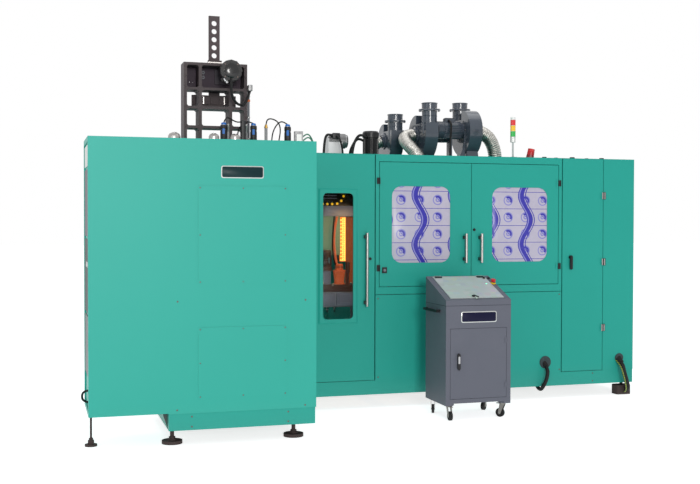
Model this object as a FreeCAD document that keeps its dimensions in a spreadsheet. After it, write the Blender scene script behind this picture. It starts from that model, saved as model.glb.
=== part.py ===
# Linear stretch blow moulding machine for plastic bottles: a long sheet-metal enclosure with
# a protruding cabinet, a stretch tower, roof blowers and a wheeled operator console.
# Row frame: origin on the floor under the middle of the machine, +X to the right seen from
# the front, +Y to the back, +Z up. All sizes are in millimetres.
import FreeCAD
import Part
import Sketcher
import math
import os
import re

from FreeCAD import Rotation, Vector

SIZES = {
    # whole machine
    "machineLong": 5000, "machineDeep": 2600, "bodyTop": 2190, "cabinetTop": 2200,
    "skirtTop": 235, "skirtFoot": 113, "cabinetDeep": 1094, "cabinetRight": 1640,
    "cabinetSeam": 556, "bodyLeft": 600, "panelThick": 30, "skin": 4, "seam": 5,
    "skirtThick": 12, "skirtInset": 6,
    # welded base and enclosure frame
    "railSize": 100, "railGap": 20, "postSize": 60, "headRail": 44, "doorBack": 4,
    # protruding cabinet and its side cover
    "coverDeep": 570, "coverFoot": 240, "coverLip": 35, "coverInset": 12, "accessLeft": 765,
    "accessWide": 652, "accessThick": 3, "upperAccessFoot": 1160, "upperAccessHigh": 703,
    "lowerAccessFoot": 335, "lowerAccessHigh": 512,
    "gussetFoot": 115, "gussetTop": 239, "gussetWide": 38, "gussetY": 96,
    # narrow door
    "narrowGap": 22, "narrowWide": 793, "glassSide": 330,
    "glassWide": 268, "glassFoot": 775, "glassHigh": 1075, "glassRound": 35,
    "frameOut": 42, "frameHigh": 8, "frameSlope": 14, "paneThick": 5, "paneLap": 14,
    # oven doors
    "ovenGap": 9, "doorIn": 36, "ovenDoorFoot": 1047, "ovenDoorTop": 2123, "coverTop": 974,
    "paneOuter": 112, "paneInner": 202, "paneFoot": 1250, "paneTop": 1917, "paneRound": 90,
    # electrical door and end panel
    "endWide": 320, "electricWide": 415, "wallThick": 15,
    # handles and hinges
    "barR": 12, "standoffWide": 20, "standoffHigh": 28, "standoffLong": 38,
    "longHandleIn": 80, "longHandleFoot": 880, "longHandleHigh": 632,
    "shortHandleFoot": 1246, "shortHandleHigh": 258, "leftHandleIn": 62,
    "rightHandleIn": 87, "standoffInset": 34, "leafWide": 25, "jambLeaf": 17,
    "hingeHigh": 55, "leafThick": 5, "hingeUpper": 1960, "hingeLower": 1206, "knuckleR": 6,
    "knuckleGap": 1, "hingeSeam": 2.1, "wingHigh": 65, "wingTop": 1850,
    "wingMiddle": 1240, "wingLow": 632, "turnGap": 0.3,
    "leverIn": 80, "leverFoot": 1173, "leverHigh": 130, "leverWide": 24, "leverThick": 16,
    "leverHubR": 17, "leverHubLong": 14, "leverRound": 9,
    # stretch tower
    "towerLeft": 838, "towerWide": 533, "towerFront": 1250, "towerDeep": 180, "towerTop": 2930,
    "ribThick": 26, "towerBay1": 124, "towerBay2": 379, "towerShelf1": 2702, "towerShelf2": 2546,
    "towerShelf3": 2384, "towerShelf4": 2216, "shelfThick": 22, "backThick": 16, "bayRound": 12,
    "bossR": 17, "bossLong": 8, "footFlange": 40, "flangeThick": 16,
    # moving stretch carriage and its guides
    "barLeft": 1078, "barWide": 93, "barThick": 24, "barTop": 3359, "barHoleR": 23,
    "barPitch": 68.6, "barFirstHole": 62, "guideThick": 14, "guideWide": 18, "guideSlip": 0.3,
    "headSide": 94, "headWide": 378, "headDrop": 112, "headHigh": 92, "shoeWide": 52,
    "barHoles": 8, "clampWide": 60, "clampHigh": 64, "clampLong": 20, "clampCount": 5,
    "guideBlockHigh": 32, "guideBlockWall": 14, "blockSlip": 0.4,
    # servo motor on the tower
    "servoSide": 378, "servoDrop": 72, "servoR": 92, "servoLong": 96, "servoNeckR": 46,
    "fittingR": 15, "fittingLong": 46, "clipWide": 34, "clipHigh": 52, "clipDeep": 60,
    # roof air equipment
    "domeY": 950, "domeR": 50, "domeHigh": 117, "domeX1": 719, "domeX2": 1038, "domeX3": 1210,
    "airY": 1150, "airLeft": 1120, "airWide": 770, "airDeep": 56, "airHigh": 64,
    "bowlR": 26, "bowlHigh": 154, "bowlX1": 1153, "bowlX2": 1404, "bowlX3": 1697,
    "silencerR": 12, "silencerHigh": 146, "silencerX1": 1190, "silencerX2": 1343,
    "solenoidX": 1316, "solenoidWide": 30, "solenoidHigh": 190, "nozzleX": 1511,
    "nozzleR": 13, "nozzleHigh": 136, "switchX": 1790, "switchWide": 70, "switchHigh": 116,
    # geared motor and upright motor on the roof
    "motorY": 1600, "gearX": 2230, "gearBox": 130, "motorR": 62, "motorLong": 175,
    "liftMotorX": 2581, "liftMotorR": 66, "liftMotorHigh": 237,
    # blowers: middle one; the outer two differ in height and place
    "wheelWide": 130, "mouthR": 266, "tongueR": 191, "scrollSteps": 24, "pipeR": 74,
    "pipeWall": 4, "pipeStep": 1.5, "pipeFlangeR": 104, "pipeFlangeThick": 16,
    "rimLong": 78, "inletR": 60, "bigInletR": 66, "inletWall": 8, "inletLong": 34,
    "smallMouthR": 235, "smallTongueR": 167, "leftFanX": 3043, "leftFanY": 2400,
    "leftFanZ": 2407, "leftPipeTop": 2658, "middleFanX": 3273, "middleFanY": 2100,
    "middleFanZ": 2449, "middlePipeTop": 2743, "rightFanX": 3678, "rightFanY": 1930,
    "rightFanZ": 2490, "rightPipeTop": 2776, "fanMotorR": 80, "fanMotorLong": 262,
    "smallMotorR": 62, "smallMotorLong": 90, "middleMotorLong": 224, "cowlLong": 60,
    "cowlStep": 6, "barrelSides": 20, "wheelSides": 32, "terminalLong": 96,
    "terminalHigh": 62, "standThick": 14,
    "standFoot": 300, "standInset": 8, "cradleWide": 110, "gussetReach": 108,
    "gussetHigh": 285, "gussetThick": 10, "gussetNear": 84,
    # ribbed ducts
    "ductR": 63, "ductRib": 5, "ductWall": 5, "bigDuctR": 68, "ribCount": 6, "ductSides": 10,
    "endStep": 1.5,
    # signal tower and beacon
    "signalX": 3858, "signalY": 1300, "lensR": 24, "lensHigh": 52,
    "signalPoleR": 9, "signalPoleTop": 134, "signalBaseR": 27, "signalBaseHigh": 14,
    "signalTubeHigh": 50, "signalCapHigh": 24, "beaconX": 4028, "beaconR": 32,
    "beaconHigh": 58, "beaconBase": 34, "beaconLean": 12,
    # feet
    "footR": 75, "footHigh": 34, "stemR": 15, "nutR": 24, "nutHigh": 16, "rodFootX": 27,
    "rodFootY": 204, "rodFootR": 44, "rodFootHigh": 14, "rodFootTall": 30, "rodR": 8,
    "frontFootY": 138, "footLeftX": 595,
    "footRightX": 1500, "endFootIn": 85, "endFootWide": 150, "endFootDeep": 110,
    "endFootHigh": 86, "endFootRound": 24, "rearFootY": 2480, "rearFootX": 750,
    # grommets and leads
    "grommetIn": 156, "grommetZ": 332, "grommetR": 41.5, "portIn": 155, "portZ": 344,
    "portR": 35.5, "cordSides": 6, "cordSteps": 12, "leadR": 17, "supplyR": 22,
    "earthR": 6, "sideLeadR": 8, "servoLeadR": 11,
    # oven interior
    "beamLeft": 1900, "beamShort": 120, "beamY": 1640, "beamFoot": 830, "beamDeep": 120,
    "beamHigh": 140, "spindleR": 14, "spindleHigh": 62, "spindleCount": 15,
    "spindleStart": 2480, "spindlePitch": 104, "lampLeft": 2345, "lampShort": 150,
    "lampY": 1800, "lampFoot": 1235, "lampHigh": 420, "lampDeep": 90, "lampR": 7,
    "lampCount": 7, "reflector": 6, "pillarSize": 80, "legIn": 571, "sleeperHigh": 24,
    # operator console
    "consoleX": 2812, "consoleY": 340, "consoleWide": 572, "consoleDeep": 451,
    "consoleFoot": 121, "consoleLip": 974, "consoleBack": 1146, "deckBand": 32,
    "sheetThick": 3, "deckRecess": 6, "lidSide": 50, "lidNear": 34, "lidLong": 425,
    "lidThick": 6, "lidGap": 1, "lidHingeWide": 62, "lidHingeSide": 14,
    "lidHingeLong": 26, "lidHingeThick": 7, "lidPinR": 4.5, "lidPinUp": 460,
    "lidPinRise": 8, "latchWide": 14, "latchLong": 52,
    "latchThick": 10, "latchLap": 18, "latchX": 272,
    "doorSide": 37, "doorFoot": 52, "doorHigh": 573, "doorGap": 2.5,
    "consoleDoorThick": 16, "doorPinR": 3, "doorPinOut": 3.5, "doorPinHigh": 44,
    "doorPinSide": 1.25, "doorPinInset": 80, "swingLong": 138, "swingWide": 24,
    "swingThick": 12, "swingX": 108, "swingFoot": 409, "swingRound": 11, "swingPivotR": 8,
    "swingPivotLong": 9, "stopX": 548, "stopUp": 321, "stopR": 19, "stopHigh": 17,
    "stopTravel": 5, "collarR": 22, "collarHigh": 14, "stopStemR": 8, "sideBarHigh": 20,
    "sideBarThick": 16, "sideBarNear": 122, "sideBarLong": 300, "sideBarOut": 36,
    "sideBarZ": 870, "archHigh": 18, "archSide": 62, "trayFloor": 24,
    # casters
    "casterInset": 48, "wheelR": 37, "wheelThick": 22, "wheelGap": 3, "axleR": 5,
    "axleSlip": 0.05, "trail": 22, "hoodR": 25, "hoodHigh": 12,
    "plateSize": 60, "swivelGap": 0.5, "legThick": 3, "hubR": 12,
    "brakeLong": 30, "brakeWide": 26,
}

doc = FreeCAD.newDocument("BlowMouldingMachine")
sheet = doc.addObject("Spreadsheet::Sheet", "Sizes")
for row, (alias, number) in enumerate(SIZES.items(), 1):
    sheet.set(f"A{row}", alias)
    sheet.set(f"B{row}", str(number))
    sheet.setAlias(f"B{row}", alias)
doc.recompute()
nodes = []


def size(text):
    return float(sheet.evalExpression(bound(text)))


def bound(text):
    # the words of a formula that are sizes become references to their cells
    return re.sub(r"[A-Za-z]\w*", lambda m: "Sizes." + m.group() if m.group() in SIZES
                  else m.group(), str(text))


def left(text):
    # distance from the machine's left end
    return f"-machineLong / 2 + {text}"


def front(text):
    # distance behind the front face of the protruding cabinet
    return f"-machineDeep / 2 + {text}"


BODY_FRONT = front("cabinetDeep")
BODY_BACK = "machineDeep / 2"
RIGHT_END = "machineLong / 2"
NARROW_LEFT = "(cabinetRight + narrowGap)"
NARROW_RIGHT = f"({NARROW_LEFT} + narrowWide)"
END_LEFT = "(machineLong - endWide)"
ELECTRIC_RIGHT = f"({END_LEFT} - seam)"
ELECTRIC_LEFT = f"({ELECTRIC_RIGHT} - electricWide)"
OVEN_LEFT = f"({NARROW_RIGHT} + ovenGap)"
OVEN_RIGHT = f"({ELECTRIC_LEFT} - ovenGap)"
DOOR_LEFT = f"({OVEN_LEFT} + doorIn)"
DOOR_RIGHT = f"({OVEN_RIGHT} - doorIn)"
DOORS_MEET = f"(({DOOR_LEFT} + {DOOR_RIGHT}) / 2)"


def at(thing, x, y, z, turn=None):
    if turn is not None:
        thing.Placement = FreeCAD.Placement(Vector(), turn)
    for axis, text in zip("xyz", (x, y, z)):
        thing.setExpression(".Placement.Base." + axis, bound(text))
    return thing


def block(wide, deep, high):
    box = doc.addObject("Part::Box", "Block")
    for prop, text in (("Length", wide), ("Width", deep), ("Height", high)):
        box.setExpression(prop, bound(text))
    return box


def slab(x0, x1, y0, y1, z0, z1):
    # box between two planes on each axis
    return at(block(f"({x1}) - ({x0})", f"({y1}) - ({y0})", f"({z1}) - ({z0})"), x0, y0, z0)


ALONG = {"x": Rotation(Vector(0, 1, 0), 90), "y": Rotation(Vector(1, 0, 0), -90),
         "z": Rotation(), "-x": Rotation(Vector(0, 1, 0), -90),
         "-y": Rotation(Vector(1, 0, 0), 90), "-z": Rotation(Vector(1, 0, 0), 180)}


def rod(x, y, z, radius, length, along="z"):
    cylinder = doc.addObject("Part::Cylinder", "Rod")
    cylinder.setExpression("Radius", bound(radius))
    cylinder.setExpression("Height", bound(length))
    return at(cylinder, x, y, z, ALONG[along])


def prism(x, y, z, sides, radius, length, along="z"):
    # bar with flat sides: a nut, or a small round piece that repeats
    bar = doc.addObject("Part::Prism", "Prism")
    bar.Polygon = int(sides)
    bar.setExpression("Circumradius", bound(radius))
    bar.setExpression("Height", bound(length))
    return at(bar, x, y, z, ALONG[along])


def join(*things):
    whole = doc.addObject("Part::MultiFuse", "Join")
    whole.Shapes = list(things)
    whole.Refine = True
    return whole


def group(*things):
    whole = doc.addObject("Part::Compound", "Group")
    whole.Links = list(things)
    return whole


def cut(base, *tools):
    for tool in tools:
        made = doc.addObject("Part::Cut", "Cut")
        made.Base = base
        made.Tool = tool
        made.Refine = True
        base = made
    return base


def edges_along(base, direction):
    doc.recompute()
    wanted = {"x": Vector(1, 0, 0), "y": Vector(0, 1, 0), "z": Vector(0, 0, 1)}[direction]
    return [i for i, edge in enumerate(base.Shape.Edges, 1)
            if edge.Curve.TypeId == "Part::GeomLine"
            and abs(edge.tangentAt(edge.FirstParameter).dot(wanted)) > 0.999]


def rounded(base, radius, direction, kind="Part::Fillet"):
    # rounds, or bevels, the straight edges that run along one axis
    edges = edges_along(base, direction)
    made = doc.addObject(kind, "Softened")
    made.Base = base
    made.Edges = [(i, size(radius), size(radius)) for i in edges]
    return made


def sketch(body, role, points):
    # closed outline whose corners are held at named distances from the origin
    plane = [f for f in body.Origin.OriginFeatures if f.Role == role][0]
    made = body.newObject("Sketcher::SketchObject", "Outline")
    made.AttachmentSupport = [(plane, "")]
    made.MapMode = "FlatFace"
    count = len(points)
    start = [Vector(100 * math.cos(2 * math.pi * i / count),
                    100 * math.sin(2 * math.pi * i / count), 0) for i in range(count)]
    for i in range(count):
        made.addGeometry(Part.LineSegment(start[i], start[(i + 1) % count]), False)
    for i in range(count):
        made.addConstraint(Sketcher.Constraint("Coincident", i, 2, (i + 1) % count, 1))
    for i, (across, up) in enumerate(points):
        for kind, text, axis in (("DistanceX", across, -2), ("DistanceY", up, -1)):
            if text == "0":
                made.addConstraint(Sketcher.Constraint("PointOnObject", i, 1, axis))
            else:
                key = made.addConstraint(Sketcher.Constraint(kind, -1, 1, i, 1, 10.0))
                made.setExpression(f"Constraints[{key}]", bound(text))
    return made


def turned(points, x, y, z, along="z"):
    # a turned piece: outline of radius and height, revolved about its own axis
    body = doc.addObject("PartDesign::Body", "Turned")
    outline = sketch(body, "XZ_Plane", points)
    made = body.newObject("PartDesign::Revolution", "Turn")
    made.Profile = outline
    made.ReferenceAxis = (outline, ["V_Axis"])
    made.Angle = 360
    return at(body, x, y, z, ALONG[along])


def drawn(points, length, x, y, z, role="YZ_Plane"):
    # a folded or cast profile: outline pushed to a length along the plane's normal
    body = doc.addObject("PartDesign::Body", "Drawn")
    outline = sketch(body, role, points)
    made = body.newObject("PartDesign::Pad", "Push")
    made.Profile = outline
    made.setExpression("Length", bound(length))
    return at(body, x, y, z)


def node(name, thing):
    thing.Label = name
    nodes.append(thing)
    return thing


def feature(shape, x, y, z):
    made = doc.addObject("Part::Feature", "Form")
    made.Shape = shape
    return at(made, x, y, z)


# each roof duct: its fan, the way it leaves, its radius, and its route across, behind and
# above the roof, in shares of the height of the fan's inlet over the roof
DUCTS = (
    ("left", -1, "ductR", ((0.32, -0.055, 0.8), (0.5, -0.09, 0.42), (0.52, -0.1, 0))),
    ("middle", -1, "ductR", ((0.38, -0.24, 0.88), (0.45, -0.58, 0.66), (0.28, -0.97, 0.3),
                             (0.13, -1.15, 0))),
    ("right", 1, "bigDuctR", ((0.37, 0, 0.82), (0.6, 0, 0.42), (0.66, 0, 0))),
)


# ---- structure -------------------------------------------------------------------------
def base_frame():
    low, high = "skirtFoot + 4", "skirtFoot + 4 + railSize"
    x0, x1 = left("bodyLeft + railGap"), f"{RIGHT_END} - railGap"
    y0, y1 = f"{BODY_FRONT} + railGap", f"{BODY_BACK} - railGap"
    rails = [slab(x0, x1, y0, f"{y0} + railSize", low, high),
             slab(x0, x1, f"{y1} - railSize", y1, low, high)]
    for start in (x0, left(NARROW_RIGHT), left(DOORS_MEET), left(ELECTRIC_LEFT),
                  f"{x1} - railSize"):
        rails.append(slab(start, f"{start} + railSize", y0, y1, low, high))
    near = front("frontFootY - railSize / 2")
    for start in (left("cabinetSeam + railGap"), left("cabinetRight - railGap - railSize")):
        rails.append(slab(start, f"{start} + railSize", near, y0, low, high))
    rails.append(slab(left("cabinetSeam + railGap"), left("cabinetRight - railGap"), near,
                      f"{near} + railSize", low, high))
    gusset = drawn([("0", "gussetFoot"), ("0", "gussetTop"), ("-gussetWide", "gussetTop")],
                   "skirtThick", left("cabinetSeam"), front("gussetY"), "0", "XZ_Plane")
    node("base_frame", group(join(*rails), gusset))


def body_frame():
    # posts and head rails behind the doors, and the surround plate of the oven doors
    behind = f"{BODY_FRONT} + panelThick + doorBack"
    deep = f"{behind} + postSize"
    foot, head = "skirtFoot + 4 + railSize", "bodyTop - skin"
    pieces = []
    for start in (left("bodyLeft + wallThick"), left(OVEN_LEFT + " - 18"),
                  left(OVEN_RIGHT + " - postSize + 20"), f"{RIGHT_END} - wallThick - postSize"):
        pieces.append(slab(start, f"{start} + postSize", behind, deep, foot, head))
        back = f"{BODY_BACK} - wallThick - postSize"
        pieces.append(slab(start, f"{start} + postSize", back, f"{back} + postSize",
                           foot, head))
        pieces.append(slab(start, f"{start} + postSize", behind, f"{back} + postSize",
                           f"{head} - headRail", head))
    for y in (behind, f"{BODY_BACK} - wallThick - postSize"):
        pieces.append(slab(left("bodyLeft + wallThick"), f"{RIGHT_END} - wallThick", y,
                           f"{y} + postSize", f"{head} - headRail", head))
    pieces.append(slab(left("cabinetRight - postSize"), left(NARROW_LEFT + " - seam"),
                       BODY_FRONT, deep, "skirtTop", head))
    plate = slab(left(OVEN_LEFT), left(OVEN_RIGHT), BODY_FRONT, behind,
                 "coverTop + seam", "bodyTop - skin")
    opening = slab(left(DOOR_LEFT + " - seam"), left(DOOR_RIGHT + " + seam"),
                   f"{BODY_FRONT} - 1", f"{behind} + 1", "ovenDoorFoot - seam",
                   "ovenDoorTop + seam")
    pieces.append(cut(plate, opening))
    node("body_frame", join(*pieces))


def body_roof():
    top = slab(left("bodyLeft"), RIGHT_END, f"{BODY_FRONT} + panelThick", BODY_BACK,
               "bodyTop - skin", "bodyTop")
    lip = slab(left("bodyLeft"), RIGHT_END, BODY_FRONT,
               f"{BODY_FRONT} + panelThick + 1", "bodyTop - skin", "bodyTop")
    holes = []
    for side, way, outer, route in DUCTS:
        across, deep, up = route[-1]
        over = f"({side}FanZ - bodyTop)"
        holes.append(prism(
            left(f"{side}FanX + {way} * (wheelWide / 2 + inletLong + {across} * {over})"),
            front(f"{side}FanY + {deep} * {over}"), "bodyTop - 2 * skin",
            size("ductSides"), f"{outer} - ductRib - ductWall", "3 * skin"))
    node("body_roof", cut(join(top, lip), *holes))


def body_panels():
    # three rear panels and two end panels, butted at the corners
    foot, head = "skirtTop", "bodyTop - skin"
    walls = []
    for x0, x1 in ((left("bodyLeft"), left(NARROW_RIGHT)),
                   (left(NARROW_RIGHT + " + seam"), left(ELECTRIC_LEFT + " - seam")),
                   (left(ELECTRIC_LEFT), RIGHT_END)):
        walls.append(slab(x0, x1, f"{BODY_BACK} - wallThick", BODY_BACK, foot, head))
    for x0 in (left("bodyLeft"), f"{RIGHT_END} - wallThick"):
        y0 = BODY_FRONT if x0 == left("bodyLeft") else f"{BODY_FRONT} + panelThick"
        walls.append(slab(x0, f"{x0} + wallThick", y0, f"{BODY_BACK} - wallThick",
                          foot, head))
    node("body_panels", group(*walls))


def skirt_plates():
    low, high = "skirtFoot", "skirtTop"
    inner = f"{BODY_FRONT} + skirtInset"
    body = slab(left("cabinetRight"), f"{RIGHT_END} - skirtThick", inner,
                f"{inner} + skirtThick", low, high)
    back = slab(left("bodyLeft + skirtThick"), f"{RIGHT_END} - skirtThick",
                f"{BODY_BACK} - skirtThick", BODY_BACK, low, high)
    ends = [slab(x0, f"{x0} + skirtThick", y0, BODY_BACK, low, high) for x0, y0 in
            ((left("bodyLeft"), f"{BODY_FRONT} + postSize"),
             (f"{RIGHT_END} - skirtThick", inner))]
    near = front("skirtInset")
    face = slab(left("cabinetSeam + skirtThick"), left("cabinetRight - skirtInset"), near,
                f"{near} + skirtThick", low, high)
    sides = [slab(x0, f"{x0} + skirtThick", y0, y1, low, high) for x0, y0, y1 in
             ((left("cabinetSeam"), near, f"{BODY_FRONT} + postSize - 1"),
              (left("cabinetRight - skirtThick - skirtInset"), f"{near} + skirtThick",
               f"{inner} - 1"))]
    node("skirt_plates", group(body, back, *ends, face, *sides))


def tray(x0, x1, y0, z0, z1, *openings):
    # folded sheet panel: a skin at the front with its edges folded back
    outer = slab(x0, x1, y0, f"{y0} + panelThick", z0, z1)
    hollow = slab(f"{x0} + skin", f"{x1} - skin", f"{y0} + skin", f"{y0} + panelThick + 1",
                  f"{z0} + skin", f"{z1} - skin")
    return cut(outer, hollow, *openings)


def fixed_front_panels():
    near = f"{BODY_FRONT} - 1"
    grommet = rod(left(OVEN_RIGHT + " - grommetIn"), near, "grommetZ", "grommetR",
                  "panelThick", "y")
    node("lower_cover_panel", tray(left(OVEN_LEFT), left(OVEN_RIGHT), BODY_FRONT,
                                   "skirtTop", "coverTop", grommet))
    port = rod(left("machineLong - portIn"), near, "portZ", "portR", "panelThick", "y")
    node("end_front_panel", tray(left(END_LEFT), RIGHT_END, BODY_FRONT, "skirtTop",
                                 "bodyTop - skin", port))


def cabinet_shell():
    x0, x1, y0, y1 = left("cabinetSeam"), left("cabinetRight"), front("0"), BODY_FRONT
    outer = slab(x0, x1, y0, y1, "skirtTop", "cabinetTop")
    room = slab(f"{x0} + wallThick", f"{x1} - wallThick", f"{y0} + wallThick",
                f"{y1} - wallThick", "skirtTop - 1", "cabinetTop - wallThick")
    passage = slab(left("bodyLeft + wallThick"), f"{x1} - wallThick",
                   f"{y1} - wallThick - 1", f"{y1} + 1", "skirtTop - 1",
                   "bodyTop - postSize")
    node("cabinet_shell", cut(outer, room, passage))


def side_extension():
    # overhanging cover at the left end, closed, with a shallow recess in its end face
    x0, x1, y0, y1 = left("0"), left("cabinetSeam"), front("0"), front("coverDeep")
    outer = slab(x0, x1, y0, y1, "coverFoot", "cabinetTop")
    recess = slab(f"{x0} - 1", f"{x0} + coverInset", f"{y0} + coverLip",
                  f"{y1} - coverInset", "coverFoot + coverLip", "cabinetTop - coverLip")
    node("side_extension", cut(outer, recess))


def access_panels():
    plates = []
    for foot, high in (("upperAccessFoot", "upperAccessHigh"),
                       ("lowerAccessFoot", "lowerAccessHigh")):
        plates.append(slab(left("accessLeft"), left("accessLeft + accessWide"),
                           front("-accessThick"), front("0"), foot, f"{foot} + {high}"))
    node("access_panels", group(*plates))


WINGS = ("wingTop", "wingMiddle", "wingLow")


# ---- doors -----------------------------------------------------------------------------
def window_cut(x0, x1, z0, z1, radius):
    hole = slab(x0, x1, f"{BODY_FRONT} - 2 * frameHigh", f"{BODY_FRONT} + skin + 2", z0, z1)
    return rounded(hole, radius, "y")


def pane(name, x0, x1, z0, z1):
    y0 = f"{BODY_FRONT} + skin"
    node(name, slab(f"{x0} - paneLap", f"{x1} + paneLap", y0, f"{y0} + paneThick",
                    f"{z0} - paneLap", f"{z1} + paneLap"))


def bar_handle(name, x, foot, high):
    # round bar with a square block at each end that carries it off the door
    y = f"{BODY_FRONT} - standoffLong"
    pieces = [rod(x, y, foot, "barR", high)]
    for z in (f"{foot} + standoffInset", f"{foot} + {high} - standoffInset"):
        pieces.append(slab(f"{x} - standoffWide", f"{x} + barR / 3", y, BODY_FRONT,
                           f"{z} - standoffHigh / 2", f"{z} + standoffHigh / 2"))
    node(name, join(*pieces))


def narrow_door():
    x0, x1 = (left(NARROW_LEFT + " + glassSide"),
              left(NARROW_LEFT + " + glassSide + glassWide"))
    z0, z1 = "glassFoot", "glassFoot + glassHigh"
    panel = tray(left(NARROW_LEFT), left(NARROW_RIGHT), BODY_FRONT, "skirtTop + seam",
                 "bodyTop - skin - 1")
    raised = doc.addObject("Part::Wedge", "WindowFrame")
    low = {"Xmin": "0", "Zmin": "0", "Ymin": "0", "X2min": "frameSlope",
           "Z2min": "frameSlope", "Xmax": "glassWide + 2 * frameOut",
           "Zmax": "glassHigh + 2 * frameOut", "Ymax": "frameHigh",
           "X2max": "glassWide + 2 * frameOut - frameSlope",
           "Z2max": "glassHigh + 2 * frameOut - frameSlope"}
    for prop, text in low.items():
        raised.setExpression(prop, bound(text))
    at(raised, f"{x0} - frameOut", BODY_FRONT, f"{z1} + frameOut",
       Rotation(Vector(1, 0, 0), 180))
    leaves = [leaf(f"{NARROW_LEFT} - seam / 2", z, 1, "wingHigh", 1) for z in WINGS]
    whole = join(panel, raised, *leaves)
    node("narrow_door", cut(whole, window_cut(x0, x1, z0, z1, "glassRound")))
    pane("narrow_window", x0, x1, z0, z1)
    bar_handle("long_handle", left(NARROW_RIGHT + " - longHandleIn"), "longHandleFoot",
               "longHandleHigh")


def oven_doors():
    for side, x0, x1, g0, g1, grip in (
            ("left", DOOR_LEFT, f"{DOORS_MEET} - seam / 2", f"{DOOR_LEFT} + paneOuter",
             f"{DOORS_MEET} - paneInner", f"{DOORS_MEET} - leftHandleIn"),
            ("right", f"{DOORS_MEET} + seam / 2", DOOR_RIGHT, f"{DOORS_MEET} + paneInner",
             f"{DOOR_RIGHT} - paneOuter", f"{DOORS_MEET} + rightHandleIn")):
        hole = window_cut(left(g0), left(g1), "paneFoot", "paneTop", "paneRound")
        way, edge = (1, f"{DOOR_LEFT} - hingeSeam") if side == "left" else (
            -1, f"{DOOR_RIGHT} + hingeSeam")
        panel = tray(left(x0), left(x1), BODY_FRONT, "ovenDoorFoot", "ovenDoorTop", hole)
        leaves = [leaf(edge, z, way, "hingeHigh", 1) for z in ("hingeUpper", "hingeLower")]
        node(side + "_oven_door", join(panel, *leaves))
        pane(side + "_window", left(g0), left(g1), "paneFoot", "paneTop")
        bar_handle(side + "_handle", left(grip), "shortHandleFoot", "shortHandleHigh")


def electrical_door():
    panel = tray(left(ELECTRIC_LEFT), left(ELECTRIC_RIGHT), BODY_FRONT,
                 "skirtTop + seam", "bodyTop - skin - 1")
    leaves = [leaf(f"{ELECTRIC_RIGHT} + seam / 2", z, -1, "wingHigh", 1) for z in WINGS]
    node("electrical_door", join(panel, *leaves))
    x, y = f"{ELECTRIC_LEFT} + leverIn", f"{BODY_FRONT} - leverHubLong"
    top = "leverFoot + leverHigh"
    grip = slab(left(f"{x} - leverWide / 2"), left(f"{x} + leverWide / 2"),
                f"{y} - leverThick", y, "leverFoot", top)
    hub = rod(left(x), y, f"{top} - leverHubR", "leverHubR", "leverHubLong - turnGap", "y")
    node("door_lever", join(rounded(grip, "leverRound", "y", "Part::Chamfer"), hub))


def leaf(axis, z, way, high, sunk=0):
    # hinge leaf beside its knuckle, on the face of a panel
    near, far = f"{axis} + {way} * (knuckleR + knuckleGap)", f"{axis} + {way} * leafWide"
    low, up = (near, far) if way > 0 else (far, near)
    return slab(left(low), left(up), f"{BODY_FRONT} - leafThick", f"{BODY_FRONT} + {sunk}",
                f"{z} - {high} / 2", f"{z} + {high} / 2")


def door_hinges():
    # fixed leaf and knuckle of each hinge; the moving leaf is on its door
    parts = []
    short = ("hingeUpper", "hingeLower")
    for axis, way, high, wide, places in (
            (f"{NARROW_LEFT} - seam / 2", -1, "wingHigh", "jambLeaf", WINGS),
            (f"{DOOR_LEFT} - hingeSeam", -1, "hingeHigh", "leafWide", short),
            (f"{DOOR_RIGHT} + hingeSeam", 1, "hingeHigh", "leafWide", short),
            (f"{ELECTRIC_RIGHT} + seam / 2", 1, "wingHigh", "leafWide", WINGS)):
        for z in places:
            knuckle = rod(left(axis), f"{BODY_FRONT} - knuckleR", f"{z} - {high} / 2",
                          "knuckleR", high)
            bridge = slab(left(f"{axis} - (1 - {way}) * {wide} / 2"),
                          left(f"{axis} + (1 + {way}) * {wide} / 2"),
                          f"{BODY_FRONT} - leafThick", BODY_FRONT, f"{z} - {high} / 2",
                          f"{z} + {high} / 2")
            parts.append(join(bridge, knuckle))
    node("door_hinges", group(*parts))


HEAD_FOOT = "(towerShelf1 - headDrop)"
SERVO_X = "(towerLeft + servoSide)"
SERVO_Z = "(towerTop - servoDrop)"


# ---- stretch tower ---------------------------------------------------------------------
def tower_frame():
    # cast grid of upright ribs and shelves, its top row closed by a back web
    x0, y0, y1 = left("towerLeft"), front("towerFront"), front("towerFront + towerDeep")
    block = slab(x0, f"{x0} + towerWide", y0, y1, "bodyTop", "towerTop")
    columns = (("ribThick", "towerBay1"), ("towerBay1 + ribThick", "towerBay2"),
               ("towerBay2 + ribThick", "towerWide - ribThick"))
    rows = (("towerShelf1", "towerShelf2"), ("towerShelf2", "towerShelf3"),
            ("towerShelf3", "towerShelf4"))
    holes = []
    for a, b in columns:
        for above, below in rows:
            bay = slab(f"{x0} + {a}", f"{x0} + {b}", f"{y0} - 1", f"{y1} + 1",
                       f"{below} + shelfThick", above)
            holes.append(rounded(bay, "bayRound", "y", "Part::Chamfer"))
    for a, b in (("ribThick", "towerBay1"), ("towerBay1 + ribThick",
                                            "towerWide - ribThick")):
        bay = slab(f"{x0} + {a}", f"{x0} + {b}", f"{y0} - 1", f"{y1} - backThick",
                   "towerShelf1 + shelfThick", "towerTop - shelfThick")
        holes.append(rounded(bay, "bayRound", "y", "Part::Chamfer"))
    grid = cut(block, *holes)
    boss = [prism(f"{x0} + towerBay1 + ribThick + 2 * bossR",
                  f"{y1} - backThick - bossLong", z, 12, "bossR", "bossLong + 1", "y") for z in
            ("towerTop - 3.6 * bossR", "towerTop - 6 * bossR")]
    foot = slab(f"{x0} - footFlange", f"{x0} + towerWide + footFlange",
                f"{y0} - footFlange", f"{y1} + footFlange", "bodyTop",
                "bodyTop + flangeThick")
    node("tower_frame", join(grid, foot, *boss))


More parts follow.
